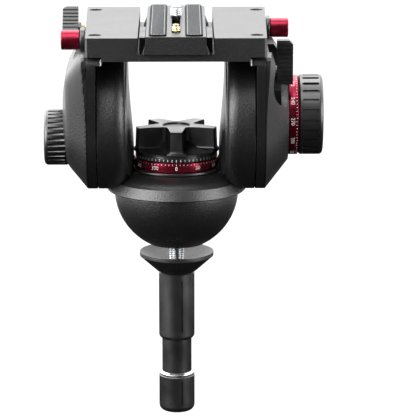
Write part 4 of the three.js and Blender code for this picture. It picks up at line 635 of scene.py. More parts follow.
carve(housing, finish_edges(lug, 0.8), 'UNION')
carve(housing, round_cutter('level_cutter', LEVEL_RADIUS + FIT, (*LEVEL_PLACE, 0), LEVEL_FLOOR, 20))
lock_spot = (LOCK_PLACE, 0, LOCK_HEIGHT)
carve(housing, round_cutter('lock_cutter', STEM_BORE, lock_spot, LUG_BACK - 12, LUG_BACK + 2, 'Y'))
dress(finish_edges(housing, 0, smooth=28), powder_black, 'yoke', 'satin_black', 'pan_housing')


# Bubble level
# A brass cup pressed into the lug, with a domed vial of tinted liquid, a black ring mark and
# an air bubble. It shows when the head stands level.
LEVEL_HEIGHT = 6
LEVEL_RIM = LEVEL_FLOOR + FIT + LEVEL_HEIGHT


def level_piece(name, profile, steps=64, shift=0):
    """A piece of the level, turned from radii and depths below the cup's rim."""
    x, y = LEVEL_PLACE
    spots = [(radius, LEVEL_RIM - depth) for radius, depth in profile]
    return turned_piece(name, spots, steps, 'Z', (x + shift, y, 0))


def clear_tint(name, colour, roughness, ior):
    """Tinted acrylic and liquid: clear, yellow green, with a glossy face and slight streaks."""
    material, tree, place = base_tree(name)
    streak = add_node(tree, 'ShaderNodeTexNoise', {'Vector': place, 'Scale': 1 / (3 * MM), 'Detail': 2.0})
    tint = linear(colour)
    shade = add_node(tree, 'ShaderNodeMix', {
        'Factor': streak.outputs['Fac'], 'A': tint, 'B': dimmed(tint, 0.75),
    }, data_type='RGBA')
    skin = add_node(tree, 'ShaderNodeBsdfPrincipled', {
        'Base Color': shade.outputs['Result'], 'Roughness': roughness, 'IOR': ior, 'Coat Weight': 0.6,
    })
    add_node(tree, 'ShaderNodeOutputMaterial', {'Surface': skin.outputs[0]})
    return material


turned_brass = tooled_metal('turned_brass', '#d8c8a0', 0.26, 0.3)
black_ink = moulded_plastic('black_ink', '#0b0b0b', '#141414', 0.5, 0.4, 0.01)
level_liquid = clear_tint('tinted_level_liquid', '#b7c63a', 0.08, 1.45)
air = clear_tint('air_bubble', '#e4ecb4', 0.05, 1.3)
cup_wall = LEVEL_RADIUS - 1.4
level_cup = level_piece('level_cup', [
    (0, LEVEL_HEIGHT), (LEVEL_RADIUS, LEVEL_HEIGHT), (LEVEL_RADIUS, 0.3), (LEVEL_RADIUS - 0.3, 0),
    (cup_wall, 0), (cup_wall, 0.8), (0, 0.8),
])
dress(finish_edges(level_cup, 0, smooth=35), turned_brass, 'yoke', 'level_vial', 'bubble_level')
vial = level_piece('level_vial_dome', [
    (0, 0.75), (cup_wall - 0.1, 0.75), (cup_wall - 0.5, 0.45), (4, 0.2), (2, 0.1), (0, 0.08),
])
dress(finish_edges(vial, 0, smooth=40), level_liquid, 'yoke', 'level_vial')
level_mark = level_piece('level_ring_mark', [
    (2.6, 0.14), (3, 0.16), (3, 0.06), (2.6, 0.04), (2.6, 0.14),
], 48)
dress(level_mark, black_ink, 'yoke', 'level_vial')
bubble = level_piece('level_bubble', [(0, 0.2), (1.7, 0.16), (1.9, 0.1), (1.6, 0.03), (0, 0)], 40, 0.3)
dress(finish_edges(bubble, 0, smooth=50), air, 'yoke', 'level_vial')


# Pan lock
# A small ribbed lever of moulded nylon on a brass hexagon screw, at the back of the lug.
def solid_copy(node, name):
    """A copy of a CAD node's mesh with its loose triangles merged and its flat faces made whole."""
    only(nodes[node])
    bpy.ops.object.duplicate()
    piece = bpy.context.object
    piece.name = name
    for key in list(piece.keys()):
        del piece[key]
    world_place = piece.matrix_world.copy()
    piece.parent = None
    piece.matrix_world = world_place
    bpy.ops.object.transform_apply(location=True, rotation=True, scale=True)
    close_mesh(piece, 2e-6)
    bpy.ops.object.mode_set(mode='EDIT')
    bpy.ops.mesh.select_all(action='SELECT')
    bpy.ops.mesh.dissolve_limited(angle_limit=radians(0.5))
    bpy.ops.object.mode_set(mode='OBJECT')
    return piece


def kept_shape(node, name, width, material, body, slot, **edges):
    """A CAD node's own shape, with fine edges and its real finish."""
    return dress(finish_edges(solid_copy(node, name), width, **edges), material, body, slot, node)


kept_shape('pan_lock_lever', 'pan_lock_grip', 0.35, grip_plastic, 'pan_lock', 'knob_black')
kept_shape('pan_lock_screw', 'pan_lock_hexagon', 0.2, turned_brass, 'pan_lock', 'brass')


# Rings round the pan axis
# A dark index ring and a red anodised ring sit on the cone, and a black scale ring turns with
# the knob. Their white ticks and numbers are pad printed.
RING_BORE = 31
SCALE_BORE = 22
# Each ring: radius, low end and high end.
INDEX_RING = (37.5, 17.3, 19.4)
RED_RING = (34.3, 19.7, 27.2)
SCALE_RING = (33, 27.5, 32.2)
SPIGOT_WALL = 3.6
SPIGOT_DEPTH = 6.2
MARK_RAISE = 0.07
NUMBER_SIZE = 4.2
NUMBER_HEIGHT = 22.9
RING_TICKS = 72
TICK_WIDTH = 0.35
TICK_SPAN = (25.5, 26.5)
SCALE_TICKS = 60
SCALE_TICK_WIDTH = 0.4
SCALE_TICK_SPAN = (28.2, 30.1)


def ring_piece(name, bore_radius, radius, low, high, edge, about='Z', centre=(0, 0, 0)):
    """A plain ring with small turned edges."""
    return turned_piece(name, [
        (bore_radius, low), (radius - edge, low), (radius, low + edge), (radius, high - edge),
        (radius - edge, high), (bore_radius, high), (bore_radius, low),
    ], 160, about, centre)


index_ring = ring_piece('pan_index_ring_turned', RING_BORE, *INDEX_RING, 0.3)
dress(finish_edges(index_ring, 0, smooth=50), grip_plastic, 'yoke', 'knob_black', 'pan_index_ring')


def red_anodise(name, line_axis):
    """Red anodised aluminium: dyed metal, deep red, pink in its glints, with fine turning lines."""
    material, tree, place = base_tree(name)
    stretch = [70.0, 70.0, 70.0]
    stretch['XYZ'.index(line_axis)] = 1 / (0.35 * MM)
    along = add_node(tree, 'ShaderNodeMapping', {'Vector': place, 'Scale': stretch})
    lines = add_node(tree, 'ShaderNodeTexNoise', {
        'Vector': along.outputs['Vector'], 'Scale': 1.0, 'Detail': 2.0,
    })
    cloud = add_node(tree, 'ShaderNodeTexNoise', {'Vector': place, 'Scale': 1 / (7 * MM), 'Detail': 2.0})
    colour = add_node(tree, 'ShaderNodeMix', {
        'Factor': lines.outputs['Fac'], 'A': linear('#701024'), 'B': linear('#92243a'),
    }, data_type='RGBA')
    rough = add_node(tree, 'ShaderNodeMapRange', {
        'Value': cloud.outputs['Fac'], 'From Min': 0.3, 'From Max': 0.7, 'To Min': 0.2, 'To Max': 0.28,
    })
    bump = add_node(tree, 'ShaderNodeBump', {
        'Strength': 0.3, 'Distance': 0.02 * MM, 'Height': lines.outputs['Fac'],
    })
    skin = add_node(tree, 'ShaderNodeBsdfPrincipled', {
        'Base Color': colour.outputs['Result'], 'Roughness': rough.outputs['Result'],
        'Normal': bump.outputs['Normal'], 'Metallic': 0.85,
    })
    add_node(tree, 'ShaderNodeOutputMaterial', {'Surface': skin.outputs[0]})
    return material


red_upright = red_anodise('red_anodised_ring', 'Z')
red_ring = ring_piece('pan_red_ring_anodised', RING_BORE, *RED_RING, 0.6)
dress(finish_edges(red_ring, 0, smooth=50), red_upright, 'yoke', 'red_anodised', 'pan_red_ring')

radius, low, high = SCALE_RING
spigot = RING_BORE - FIT
scale_ring = turned_piece('pan_scale_ring_moulded', [
    (SCALE_BORE, low), (spigot - SPIGOT_WALL, low), (spigot - SPIGOT_WALL, low - SPIGOT_DEPTH),
    (spigot, low - SPIGOT_DEPTH), (spigot, low), (radius - 0.4, low), (radius, low + 0.4),
    (radius, high - 0.4), (radius - 0.4, high), (SCALE_BORE, high), (SCALE_BORE, low),
], 160)
dress(finish_edges(scale_ring, 0, smooth=50), grip_plastic, 'pan_knob', 'knob_black', 'pan_scale_ring')


def tick_ring(name, count, radius, low, high, width, about='Z', centre=(0, 0, 0)):
    """Evenly spaced marks round a ring, one drawn as a thin slab and copied round."""
    bpy.ops.object.select_all(action='DESELECT')
    bpy.ops.mesh.primitive_cube_add(size=1)
    mark = bpy.context.object
    mark.name = name
    middle = (low + high) / 2
    bpy.ops.object.mode_set(mode='EDIT')
    if about == 'Z':
        bpy.ops.transform.resize(value=Vector((MARK_RAISE * 2, width, high - low)) * MM)
        bpy.ops.transform.translate(value=(Vector(centre) + Vector((radius, 0, middle))) * MM)
    else:
        bpy.ops.transform.resize(value=Vector((high - low, width, MARK_RAISE * 2)) * MM)
        bpy.ops.transform.translate(value=(Vector(centre) + Vector((middle, 0, radius))) * MM)
    bpy.ops.object.mode_set(mode='OBJECT')
    return repeat_round(mark, count, about, centre)


def joined(pieces, name):
    """Several pieces made one."""
    bpy.ops.object.select_all(action='DESELECT')
    for part in pieces:
        part.select_set(True)
    bpy.context.view_layer.objects.active = pieces[0]
    bpy.ops.object.join()
    piece = bpy.context.object
    piece.name = name
    return close_mesh(piece, 1e-7)


def number_ring(name, words, radius, along, about='Z', centre=(0, 0, 0)):
    """Numbers wrapped round a ring, with their feet towards the low end of the axis."""
    rows = []
    for i, word in enumerate(words):
        bpy.ops.object.select_all(action='DESELECT')
        bpy.ops.object.text_add()
        label = bpy.context.object
        label.data.body = word
        label.data.size = NUMBER_SIZE * MM
        label.data.extrude = MARK_RAISE * MM
        label.data.align_x = 'CENTER'
        label.data.align_y = 'CENTER'
        label.data.resolution_u = 3
        bpy.ops.object.convert(target='MESH')
        label = bpy.context.object
        start = 2 * pi * i / len(words) - pi / 2
        for vertex in label.data.vertices:
            angle = start + vertex.co.x / (radius * MM)
            reach = radius * MM + vertex.co.z
            if about == 'Z':
                spot = (reach * cos(angle), reach * sin(angle), along * MM + vertex.co.y)
            else:
                spot = (along * MM + vertex.co.y, reach * cos(angle), reach * sin(angle))
            vertex.co = Vector(centre) * MM + Vector(spot)
        rows.append(label)
    return joined(rows, name)


def print_ink(name, colour):
    """Pad-printed enamel ink: a thin white film with a slight mottle and a low gloss."""
    material, tree, place = base_tree(name)
    mottle = add_node(tree, 'ShaderNodeTexNoise', {'Vector': place, 'Scale': 1 / (0.6 * MM), 'Detail': 2.0})
    tint = linear(colour)
    shade = add_node(tree, 'ShaderNodeMix', {
        'Factor': mottle.outputs['Fac'], 'A': tint, 'B': dimmed(tint, 0.8),
    }, data_type='RGBA')
    skin = add_node(tree, 'ShaderNodeBsdfPrincipled', {
        'Base Color': shade.outputs['Result'], 'Roughness': 0.45,
    })
    add_node(tree, 'ShaderNodeOutputMaterial', {'Surface': skin.outputs[0]})
    return material


white_ink = print_ink('white_print', '#f2f0ee')
degrees = [str(30 * i) for i in range(12)]
pan_numbers = number_ring('pan_ring_numbers', degrees, RED_RING[0], NUMBER_HEIGHT)
dress(pan_numbers, white_ink, 'yoke', 'red_anodised')
pan_ticks = tick_ring('pan_ring_ticks', RING_TICKS, RED_RING[0], *TICK_SPAN, TICK_WIDTH)
dress(pan_ticks, white_ink, 'yoke', 'red_anodised')
scale_ticks = tick_ring('pan_scale_ticks', SCALE_TICKS, SCALE_RING[0], *SCALE_TICK_SPAN, SCALE_TICK_WIDTH)
dress(scale_ticks, white_ink, 'pan_knob', 'knob_black')


# Pan drag knob
# Moulded glass-filled nylon: a star of five tapered arms, one of them to the front, with a
# dished hub and a flared skirt. It is pressed on the scale ring and turns with it.
KNOB_BOTTOM = 32.5
KNOB_HEIGHT = 20.1
KNOB_TOP = KNOB_BOTTOM + KNOB_HEIGHT
KNOB_RADIUS = 33.4
SKIRT_RADIUS = 34.4
ARMS = 5
ARM_TIP = 4.7
ARM_TAPER = radians(8.1)
ARM_ROUND = 3.5
ARM_DRAFT = 0.35
HUB_REACH = 14.9
HUB_RADIUS = 12.4
HUB_DISH = 1.6
FOOT_HEIGHT = 2.2
FOOT_ROUND = 2.8
SKIRT_SHARES = [(1, 0), (1, 0.05), (0.985, 0.068), (0.94, 0.085), (0.86, 0.11), (0.76, 0.14),
                (0.67, 0.17), (0.6, 0.21), (0.54, 0.27), (0.49, 0.34), (0.45, 0.43)]


def lofted_piece(name, rings):
    """Rings of points in mm, skinned one after another: a filled circle is extruded once for each
    ring, and each level is then brought to its ring."""
    count = len(rings[0])
    bpy.ops.object.select_all(action='DESELECT')
    bpy.ops.mesh.primitive_circle_add(vertices=count, radius=1, fill_type='NGON')
    piece = bpy.context.object
    piece.name = name
    bpy.ops.object.mode_set(mode='EDIT')
    bpy.ops.mesh.select_all(action='SELECT')
    for _ in rings[1:]:
        bpy.ops.mesh.extrude_region_move(TRANSFORM_OT_translate={'value': (0, 0, 1)})
    bpy.ops.object.mode_set(mode='OBJECT')
    for vertex in piece.data.vertices:
        level = round(vertex.co.z)
        place = round(atan2(vertex.co.y, vertex.co.x) / (2 * pi) * count) % count
        vertex.co = Vector(rings[level][place]) * MM
    return close_mesh(piece, 1e-6)


def star_outline():
    """Points round the star, with each recess an arc between two arms."""
    half = pi / ARMS
    centre = HUB_REACH + ARM_ROUND
    tip = asin(ARM_TIP / KNOB_RADIUS)
    flank = arc_points(centre * cos(half), centre * sin(half), ARM_ROUND, pi + half, 1.5 * pi - ARM_TAPER, 8)
    flank.append((KNOB_RADIUS * cos(tip), KNOB_RADIUS * sin(tip)))
    arm = flank + [(KNOB_RADIUS, 0)] + [(t, -d) for t, d in reversed(flank[1:])]
    points = []
    for k in range(ARMS):
        turn = -pi / 2 - 2 * half * k
        points += [(t * cos(turn) - d * sin(turn), t * sin(turn) + d * cos(turn)) for t, d in arm]
    return points


def grown(outline, amount):
    """The outline moved outwards, along the normal at each of its points."""
    moved = []
    for before, here, after in zip(outline[-1:] + outline[:-1], outline, outline[1:] + outline[:1]):
        along = (after[0] - before[0], after[1] - before[1])
        length = hypot(*along)
        moved.append((here[0] - along[1] / length * amount, here[1] + along[0] / length * amount))
    return moved


star = star_outline()
foot_low = KNOB_BOTTOM + FOOT_HEIGHT
levels = [(KNOB_BOTTOM, FOOT_ROUND)]
for i in range(7):
    angle = pi / 2 * i / 6
    levels.append((foot_low + FOOT_ROUND * (1 - cos(angle)), FOOT_ROUND * (1 - sin(angle))))
levels.append((KNOB_TOP + 1, -ARM_DRAFT))
knob_rings = [[(x, y, height) for x, y in grown(star, amount)] for height, amount in levels]
knob = lofted_piece('pan_drag_knob_star', knob_rings)
dish_floor = KNOB_TOP - HUB_DISH
crown = turned_piece('knob_crown', [
    (0, KNOB_BOTTOM), (SKIRT_RADIUS, KNOB_BOTTOM), (SKIRT_RADIUS, KNOB_BOTTOM + 1.2),
    (34.1, KNOB_BOTTOM + 2.6), (33.7, KNOB_BOTTOM + 4.4), (KNOB_RADIUS, KNOB_BOTTOM + 6.6),
    (32.9, KNOB_TOP - 0.9), (32.3, KNOB_TOP - 0.4), (24, KNOB_TOP - 0.1), (HUB_RADIUS, KNOB_TOP),
    (HUB_RADIUS - 1.2, KNOB_TOP - 0.5), (HUB_RADIUS - HUB_DISH, dish_floor), (0, dish_floor),
], 180)
carve(knob, crown, 'INTERSECT')
skirt = [(SKIRT_RADIUS * out, KNOB_BOTTOM + KNOB_HEIGHT * up) for out, up in SKIRT_SHARES]
carve(knob, turned_piece('knob_skirt', [(0, KNOB_BOTTOM), *skirt, (0, skirt[-1][1])], 180), 'UNION')
finish_edges(knob, 0.45, limit=40, smooth=38)
dress(knob, grip_plastic, 'pan_knob', 'knob_black', 'pan_drag_knob')


# Yoke arms
# Two cast aluminium discs about the tilt axis, powder coated. Each has a rounded inner edge,
# a machined pad and a web that swells towards the housing, and carries a tilt bearing.
TILT = 60.8
ARM_INNER = 39
ARM_OUTER = 62.7
ARM_RADIUS = 59.6
ARM_PAD = 51.6
ARM_STEP = 1.2
# How far an arm's rounded edge reaches in from the rim, and across.
ARM_EDGE = (6, 9.3)
TILT_BEARING_BORE = 22.3
TILT_BEARING_SEAT = 48
WEB_REACH = 33.9
WEB_BACK = 44
WEB_HALF = 33
WEB_LEVELS = [(-0.96, 1), (-0.8, 1), (-0.62, 1), (-0.46, 0.95), (-0.3, 0.86), (-0.1, 0.69),
              (0.1, 0.5), (0.3, 0.33), (0.5, 0.2), (0.7, 0.08), (0.92, 0)]
WEB_POINTS = 72
SCALE_SLOT = [(-26, 79), (-24, 79), (-24, 85.5), (-26, 85.5)]


def mirror_mesh(piece):
    """The mesh on the other side of the head, with its faces outwards again."""
    piece.data.transform(Matrix.Scale(-1, 4, (1, 0, 0)))
    return close_mesh(piece, 1e-7)


def twin(piece, name):
    """A copy with its own mesh."""
    only(piece)
    bpy.ops.object.duplicate()
    copy = bpy.context.object
    copy.name = name
    return copy


def mirrored_twin(piece, name):
    """The same piece for the other side of the head."""
    return mirror_mesh(twin(piece, name))


edge_depth, edge_width = ARM_EDGE
turns = [pi / 2 * i / 12 for i in range(13)]
rounded_edge = [(ARM_RADIUS - edge_depth * (1 - sin(a)), ARM_INNER + ARM_STEP + edge_width * (1 - cos(a)))
                for a in turns]
right_arm = turned_piece('right_arm_cast', [
    (0, ARM_INNER), (ARM_PAD, ARM_INNER), (ARM_PAD + 0.4, ARM_INNER + 0.15),
    (ARM_PAD + ARM_STEP, ARM_INNER + ARM_STEP), *rounded_edge, (ARM_RADIUS, ARM_OUTER - 0.6),
    (ARM_RADIUS - 0.6, ARM_OUTER), (TILT_BEARING_BORE, ARM_OUTER), (TILT_BEARING_BORE, TILT_BEARING_SEAT),
    (0, TILT_BEARING_SEAT),
], 160, 'X', (0, 0, TILT))
turns = [2 * pi * i / WEB_POINTS for i in range(WEB_POINTS)]
web_rings = []
for level, bulge in WEB_LEVELS:
    swell = WEB_BACK - ARM_INNER + (ARM_INNER - WEB_REACH) * bulge
    height = TILT + ARM_PAD * level
    web_rings.append([(WEB_BACK - swell * cos(a), WEB_HALF * sin(a), height) for a in turns])
web = lofted_piece('arm_web', web_rings)
carve(web, round_cutter('web_core', ARM_PAD, (0, 0, TILT), 5, WEB_BACK + 2, 'X', 160), 'INTERSECT')
carve(right_arm, web, 'UNION')
index_reach = INDEX_RING[0] + FIT
index_top = INDEX_RING[2] + FIT
pan_sweep = SKIRT_RADIUS + 0.6
carve(right_arm, turned_piece('pan_clearance', [
    (0, -2), (HOUSING_RADIUS + FIT, -2), (HOUSING_RADIUS + FIT, PAN_SEAM + 0.7),
    (BAND_TOP_RADIUS + FIT, BAND_TOP + FIT), (CONE_TOP_RADIUS + 0.15, CONE_TOP + FIT),
    (index_reach, CONE_TOP + FIT), (index_reach, index_top), (pan_sweep, index_top),
    (pan_sweep, KNOB_TOP + 2), (0, KNOB_TOP + 2),
], 160))
left_arm = mirrored_twin(right_arm, 'left_arm_cast')
carve(right_arm, outline_piece('scale_slot', SCALE_SLOT, 0, ARM_INNER + 1))
for arm, node in ((left_arm, 'left_arm'), (right_arm, 'right_arm')):
    dress(finish_edges(arm, 0, smooth=28), powder_black, 'yoke', 'satin_black', node)


# Tilt bearings, hubs, axles, rotor and springs
# Ground steel bearings and axles with turned aluminium hubs, the rotor cup of the tilt drag and
# the counterbalance spring pack. They are stacked on the tilt axis and closed in by the covers.
side_aluminium = tooled_metal('turned_aluminium_across', '#9a9c9f', 0.34, 0.35, 'X')
side_steel = tooled_metal('ground_steel_across', '#b2b4b7', 0.27, 0.3, 'X')
spring_steel = tooled_metal('blued_spring_steel', '#6c6f78', 0.3, 0.5, 'X')
finish_nodes(side_steel, 'left_tilt_bearing', 'right_tilt_bearing', 'left_axle', 'right_axle')
finish_nodes(side_aluminium, 'counterbalance_hub', 'tilt_drag_stator')
rotor_black = tooled_metal('blackened_rotor_steel', '#1b1b1d', 0.5, 0.5, 'X')
finish_nodes(rotor_black, 'tilt_drag_rotor')
finish_nodes(spring_steel, 'counterbalance_springs')


# Side plates
# Two cast plates beside the arms, powder coated: round below and fanned out above to carry the
# bridge, with a gusset at each top corner for its screws.
SIDE_INNER = 63.3
SIDE_OUTER = 70
SIDE_RADIUS = 59.6
SIDE_TOP = 59.7
FAN_HALF = 74
FAN_SHARPNESS = 14
GUSSET_INNER = 57.8
GUSSET_LOW = SIDE_TOP - 7.8
GUSSET_START = 58
SIDE_BORE = 29
SIDE_POINTS = 180
PLATFORM_TOP = 75.1
SCREW_PLACES = [(63, -64.5), (65.8, 64.5)]
SCREW_SINK = 1.4
SCREW_HEAD = 3
SCREW_BORE = 5.2
SCREW_RADIUS = 4.7
SCREW_STEM = 2.4
SCREW_REACH = 16.7
TILT_LEVER = (-35, 40.7)


def side_reach(angle):
    """Distance from the tilt axis to the outline: a disc below, widening to the bridge above."""
    rise = atan2(sin(angle), abs(cos(angle)))
    corner = atan2(SIDE_TOP, FAN_HALF)
    lean = corner - acos(SIDE_RADIUS / hypot(SIDE_TOP, FAN_HALF))
    flank = (max(cos(rise - lean), 0) if rise > lean else 1) / SIDE_RADIUS
    top = max(sin(rise), 0) / SIDE_TOP
    return (flank ** FAN_SHARPNESS + top ** FAN_SHARPNESS) ** (-1 / FAN_SHARPNESS)


def screw_bore(x, y):
    """A counterbored hole for a bridge screw, open at the top."""
    floor = TILT + PLATFORM_TOP - SCREW_SINK - SCREW_HEAD - FIT
    stem = SCREW_STEM + FIT
    end = floor - SCREW_REACH - FIT
    return turned_piece('screw_cutter', [
        (0, end), (stem, end), (stem, floor), (SCREW_BORE, floor), (SCREW_BORE, floor + 20), (0, floor + 20),
    ], 48, 'Z', (x, y, 0))


def lever_bore(far):
    """The hole for the tilt lock's screw, from inside the right side plate outwards."""
    y, rise = TILT_LEVER
    return round_cutter('stem_bore', STEM_BORE, (0, y, TILT + rise), GUSSET_INNER - 0.8, far, 'X', 32)


turns = [2 * pi * i / SIDE_POINTS for i in range(SIDE_POINTS)]
outline = [(side_reach(a) * cos(a), TILT + side_reach(a) * sin(a)) for a in turns]
right_side = outline_piece('right_side_plate_cast', outline, GUSSET_INNER, SIDE_OUTER)
shelf = TILT + GUSSET_LOW
carve(right_side, outline_piece('gusset_cutter', [
    (-95, -30), (95, -30), (95, shelf), (GUSSET_START, shelf), (GUSSET_START, 140),
    (-GUSSET_START, 140), (-GUSSET_START, shelf), (-95, shelf),
], GUSSET_INNER - 2, SIDE_INNER))
side_axis = (0, 0, TILT)
carve(right_side, round_cutter('side_bore', SIDE_BORE, side_axis, SIDE_INNER - 2, SIDE_OUTER + 2, 'X', 128))
for x, y in SCREW_PLACES:
    carve(right_side, screw_bore(x, y))
finish_edges(right_side, 0.35, limit=40)
left_side = mirrored_twin(right_side, 'left_side_plate_cast')
carve(right_side, lever_bore(SIDE_OUTER + 2))
for side, node in ((left_side, 'left_side_plate'), (right_side, 'right_side_plate')):
    dress(finish_edges(side, 0, smooth=30), powder_black, 'cradle', 'satin_black', node)

# A painted highlight in white ink on the front of each gusset follows the plate's outline for a point
# and a half, where light catches the edge.
first, second, third = [outline[k] for k in (72, 71, 70)]
third = tuple(a + (b - a) * 0.5 for a, b in zip(second, third))
back_line = [(y + 0.05, z) for y, z in (first, second, third)]
front_line = [(y - MARK_RAISE, z) for y, z in (third, second, first)]
gusset_painted_highlight = outline_piece('gusset_painted_highlight', back_line + front_line, GUSSET_INNER + 0.4, GUSSET_INNER + 1.2)
for mark in (gusset_painted_highlight, mirrored_twin(gusset_painted_highlight, 'left_gusset_mark')):
    dress(mark, white_ink, 'cradle', 'satin_black')


# Side covers
# Cast aluminium covers, powder coated, screwed to the side plates: a dome over the springs on
# the left, and on the right a housing with a round boss for the tilt drag. Pockets leave room
# for the buttons, levers, knobs and pan bars.
COVER_START = 70.3
DOME_END = 91
BOSS_END = 89.4
DOME_TIP = 12
BOSS_RADIUS = 36.3
# Each level: the share of the way in, and the shares of the depth at the lower and upper side.
DOME_LEVELS = [(0, 0, 0), (0, 0.04, 0.4), (0.2, 0.42, 0.64), (0.4, 0.79, 0.82), (0.52, 0.87, 0.88),
               (0.68, 0.935, 0.94), (0.84, 0.98, 0.98), (1, 1, 1)]
BOSS_LEVELS = [(0, 0, 0), (0, 0.04, 0.4), (0.25, 0.28, 0.62), (0.5, 0.52, 0.78), (0.75, 0.76, 0.89),
               (0.93, 0.93, 0.96), (1, 1, 1)]
LEFT_BUTTON = (-35, 66.6)
RIGHT_BUTTON = (25, 66.6)
CLAMP_LEVER = (38, 64.2)
COUNTER_DROP = 18.5
COUNTER_PLACE = (0, -COUNTER_DROP)
ROSETTE = (50, 28)
ROSETTE_BOSS = 14
ROSETTE_SEAT = 84
BUTTON_FLOOR = 71.2
BAR_BORE = 4.3
BAR_START = 77
# Each pocket: radius, place, floor and, for the widest one on the left, its facets. Each step of
# the room round the tilt axis: radius and far end.
LEFT_POCKETS = [(15.6, LEFT_BUTTON, BUTTON_FLOOR), (20.5, CLAMP_LEVER, 76.7),
                (22.9, COUNTER_PLACE, 86.6, 96), (6.3, COUNTER_PLACE, 82.2),
                (ROSETTE_BOSS, ROSETTE, ROSETTE_SEAT)]
RIGHT_POCKETS = [(10.1, RIGHT_BUTTON, BUTTON_FLOOR), (27.5, TILT_LEVER, 72.6),
                 (ROSETTE_BOSS, ROSETTE, ROSETTE_SEAT)]
LEFT_ROOM = [(36, 80.4), (20.3, 83.7)]
RIGHT_ROOM = [(34.5, 83.8), (20.3, 87.1), (6.3, 91.4)]


def curve_between(before, start, end, beyond, share):
    """A value on the smooth curve from start to end, led by the values on either side."""
    a, b, c, d = before, start, end, beyond
    return 0.5 * (2 * b + (c - a) * share + (2 * a - 5 * b + 4 * c - d) * share * share
                  + (3 * b - a - 3 * c + d) * share ** 3)


def smooth_levels(levels, steps):
    """Levels between the given ones, on a smooth curve through them."""
    rows = [levels[0]]
    for k in range(1, len(levels) - 1):
        before = levels[max(k - 1, 1)]
        here, after = levels[k], levels[k + 1]
        beyond = levels[min(k + 2, len(levels) - 1)]
        ends = list(zip(before, here, after, beyond))
        for i in range(steps):
            rows.append(tuple(curve_between(*values, i / steps) for values in ends))
    return rows + [levels[-1]]


def cover_rings(levels, tip, depth):
    """Rings from the side plate's outline to the tip, higher on the side that looks up."""
    rings = []
    for level, low, high in smooth_levels(levels, 4):
        ring = []
        for i in range(SIDE_POINTS):
            angle = 2 * pi * i / SIDE_POINTS
            radius = side_reach(angle) * (1 - level) + tip * level
            upper = max(sin(angle), 0) ** 2
            across = COVER_START + depth * (low * (1 - upper) + high * upper)
            ring.append((across, radius * cos(angle), TILT + radius * sin(angle)))
        rings.append(ring)
    return rings


def cover_pocket(radius, spot, floor, steps=64):
    """A round pocket, from its floor outwards."""
    y, rise = spot
    return round_cutter('pocket', radius, (0, y, TILT + rise), floor, DOME_END + 2, 'X', steps)


def inner_room(steps):
    """The stepped room round the tilt axis."""
    profile = [(0, COVER_START - 2)]
    near = COVER_START - 2
    for radius, far in steps:
        profile += [(radius, near), (radius, far)]
        near = far
    return turned_piece('inner_room', profile + [(0, near)], 96, 'X', (0, 0, TILT))


def open_cover(cover, room, pockets, *bores):
    """The boss for a pan bar is joined on, all that is hollow is cut, and the edges are rounded."""
    spot = (0, ROSETTE[0], TILT + ROSETTE[1])
    boss = round_cutter('boss', ROSETTE_BOSS, spot, COVER_START, ROSETTE_SEAT, 'X', 64)
    carve(cover, boss, 'UNION')
    tools = [inner_room(room)] + [cover_pocket(*pocket) for pocket in pockets] + list(bores)
    for tool in tools + [round_cutter('bar_bore', BAR_BORE, spot, BAR_START, DOME_END, 'X')]:
        carve(cover, tool)
    return finish_edges(cover, 0.4, limit=38, smooth=24)


dome = lofted_piece('left_dome_cast', cover_rings(DOME_LEVELS, DOME_TIP, DOME_END - COVER_START))
open_cover(dome, LEFT_ROOM, LEFT_POCKETS)
dress(mirror_mesh(dome), powder_black, 'cradle', 'satin_black', 'left_dome')

housing_rings = cover_rings(BOSS_LEVELS, BOSS_RADIUS, BOSS_END - COVER_START)
drag_housing = lofted_piece('right_housing_cast', housing_rings)
open_cover(drag_housing, RIGHT_ROOM, RIGHT_POCKETS, lever_bore(DOME_END))
dress(drag_housing, powder_black, 'cradle', 'satin_black', 'right_housing')


# Rosettes
# Die-cast aluminium discs with 24 radial teeth on the rear of both covers. A pan bar's clamp
# is screwed on them through the middle.
for side in ('left', 'right'):
    kept_shape(side + '_rosette', side + '_rosette_toothed', 0.12, side_aluminium, 'cradle', 'machined_grey',
               limit=35)


# Red tilt ring
# Red anodised aluminium, round the boss of the right housing, with pad-printed numbers.
TILT_RING = (32.2, 89.7, 97.3)
TILT_RING_BORE = 27
TILT_NUMBER_PLACE = 92.7
TILT_TICK_SPAN = (95.6, 96.6)
tilt_axis = ('X', (0, 0, TILT))
red_across = red_anodise('red_anodised_tilt_ring', 'X')
tilt_ring = ring_piece('tilt_red_ring_anodised', TILT_RING_BORE, *TILT_RING, 0.6, *tilt_axis)
dress(finish_edges(tilt_ring, 0, smooth=50), red_across, 'cradle', 'red_anodised', 'tilt_red_ring')
tilt_numbers = number_ring('tilt_ring_numbers', degrees, TILT_RING[0], TILT_NUMBER_PLACE, *tilt_axis)
dress(tilt_numbers, white_ink, 'cradle', 'red_anodised')
tilt_ticks = tick_ring('tilt_ring_ticks', RING_TICKS, TILT_RING[0], *TILT_TICK_SPAN, TICK_WIDTH, *tilt_axis)
dress(tilt_ticks, white_ink, 'cradle', 'red_anodised')


# Tilt drag knob
# Moulded nylon over a hub: 24 deep flutes with round ends, a rounded front edge and a shallow
# dish. It turns in the red ring.
TILT_KNOB = (32.1, 97.6, 117.3)
TILT_FLUTES = (24, 3.2, 1.5)
TILT_DISH = (20.4, 1.6)
TILT_TAIL = [(0, 89.3), (6, 89.3), (6, 90.3), (26.7, 90.3), (26.7, TILT_KNOB[1])]


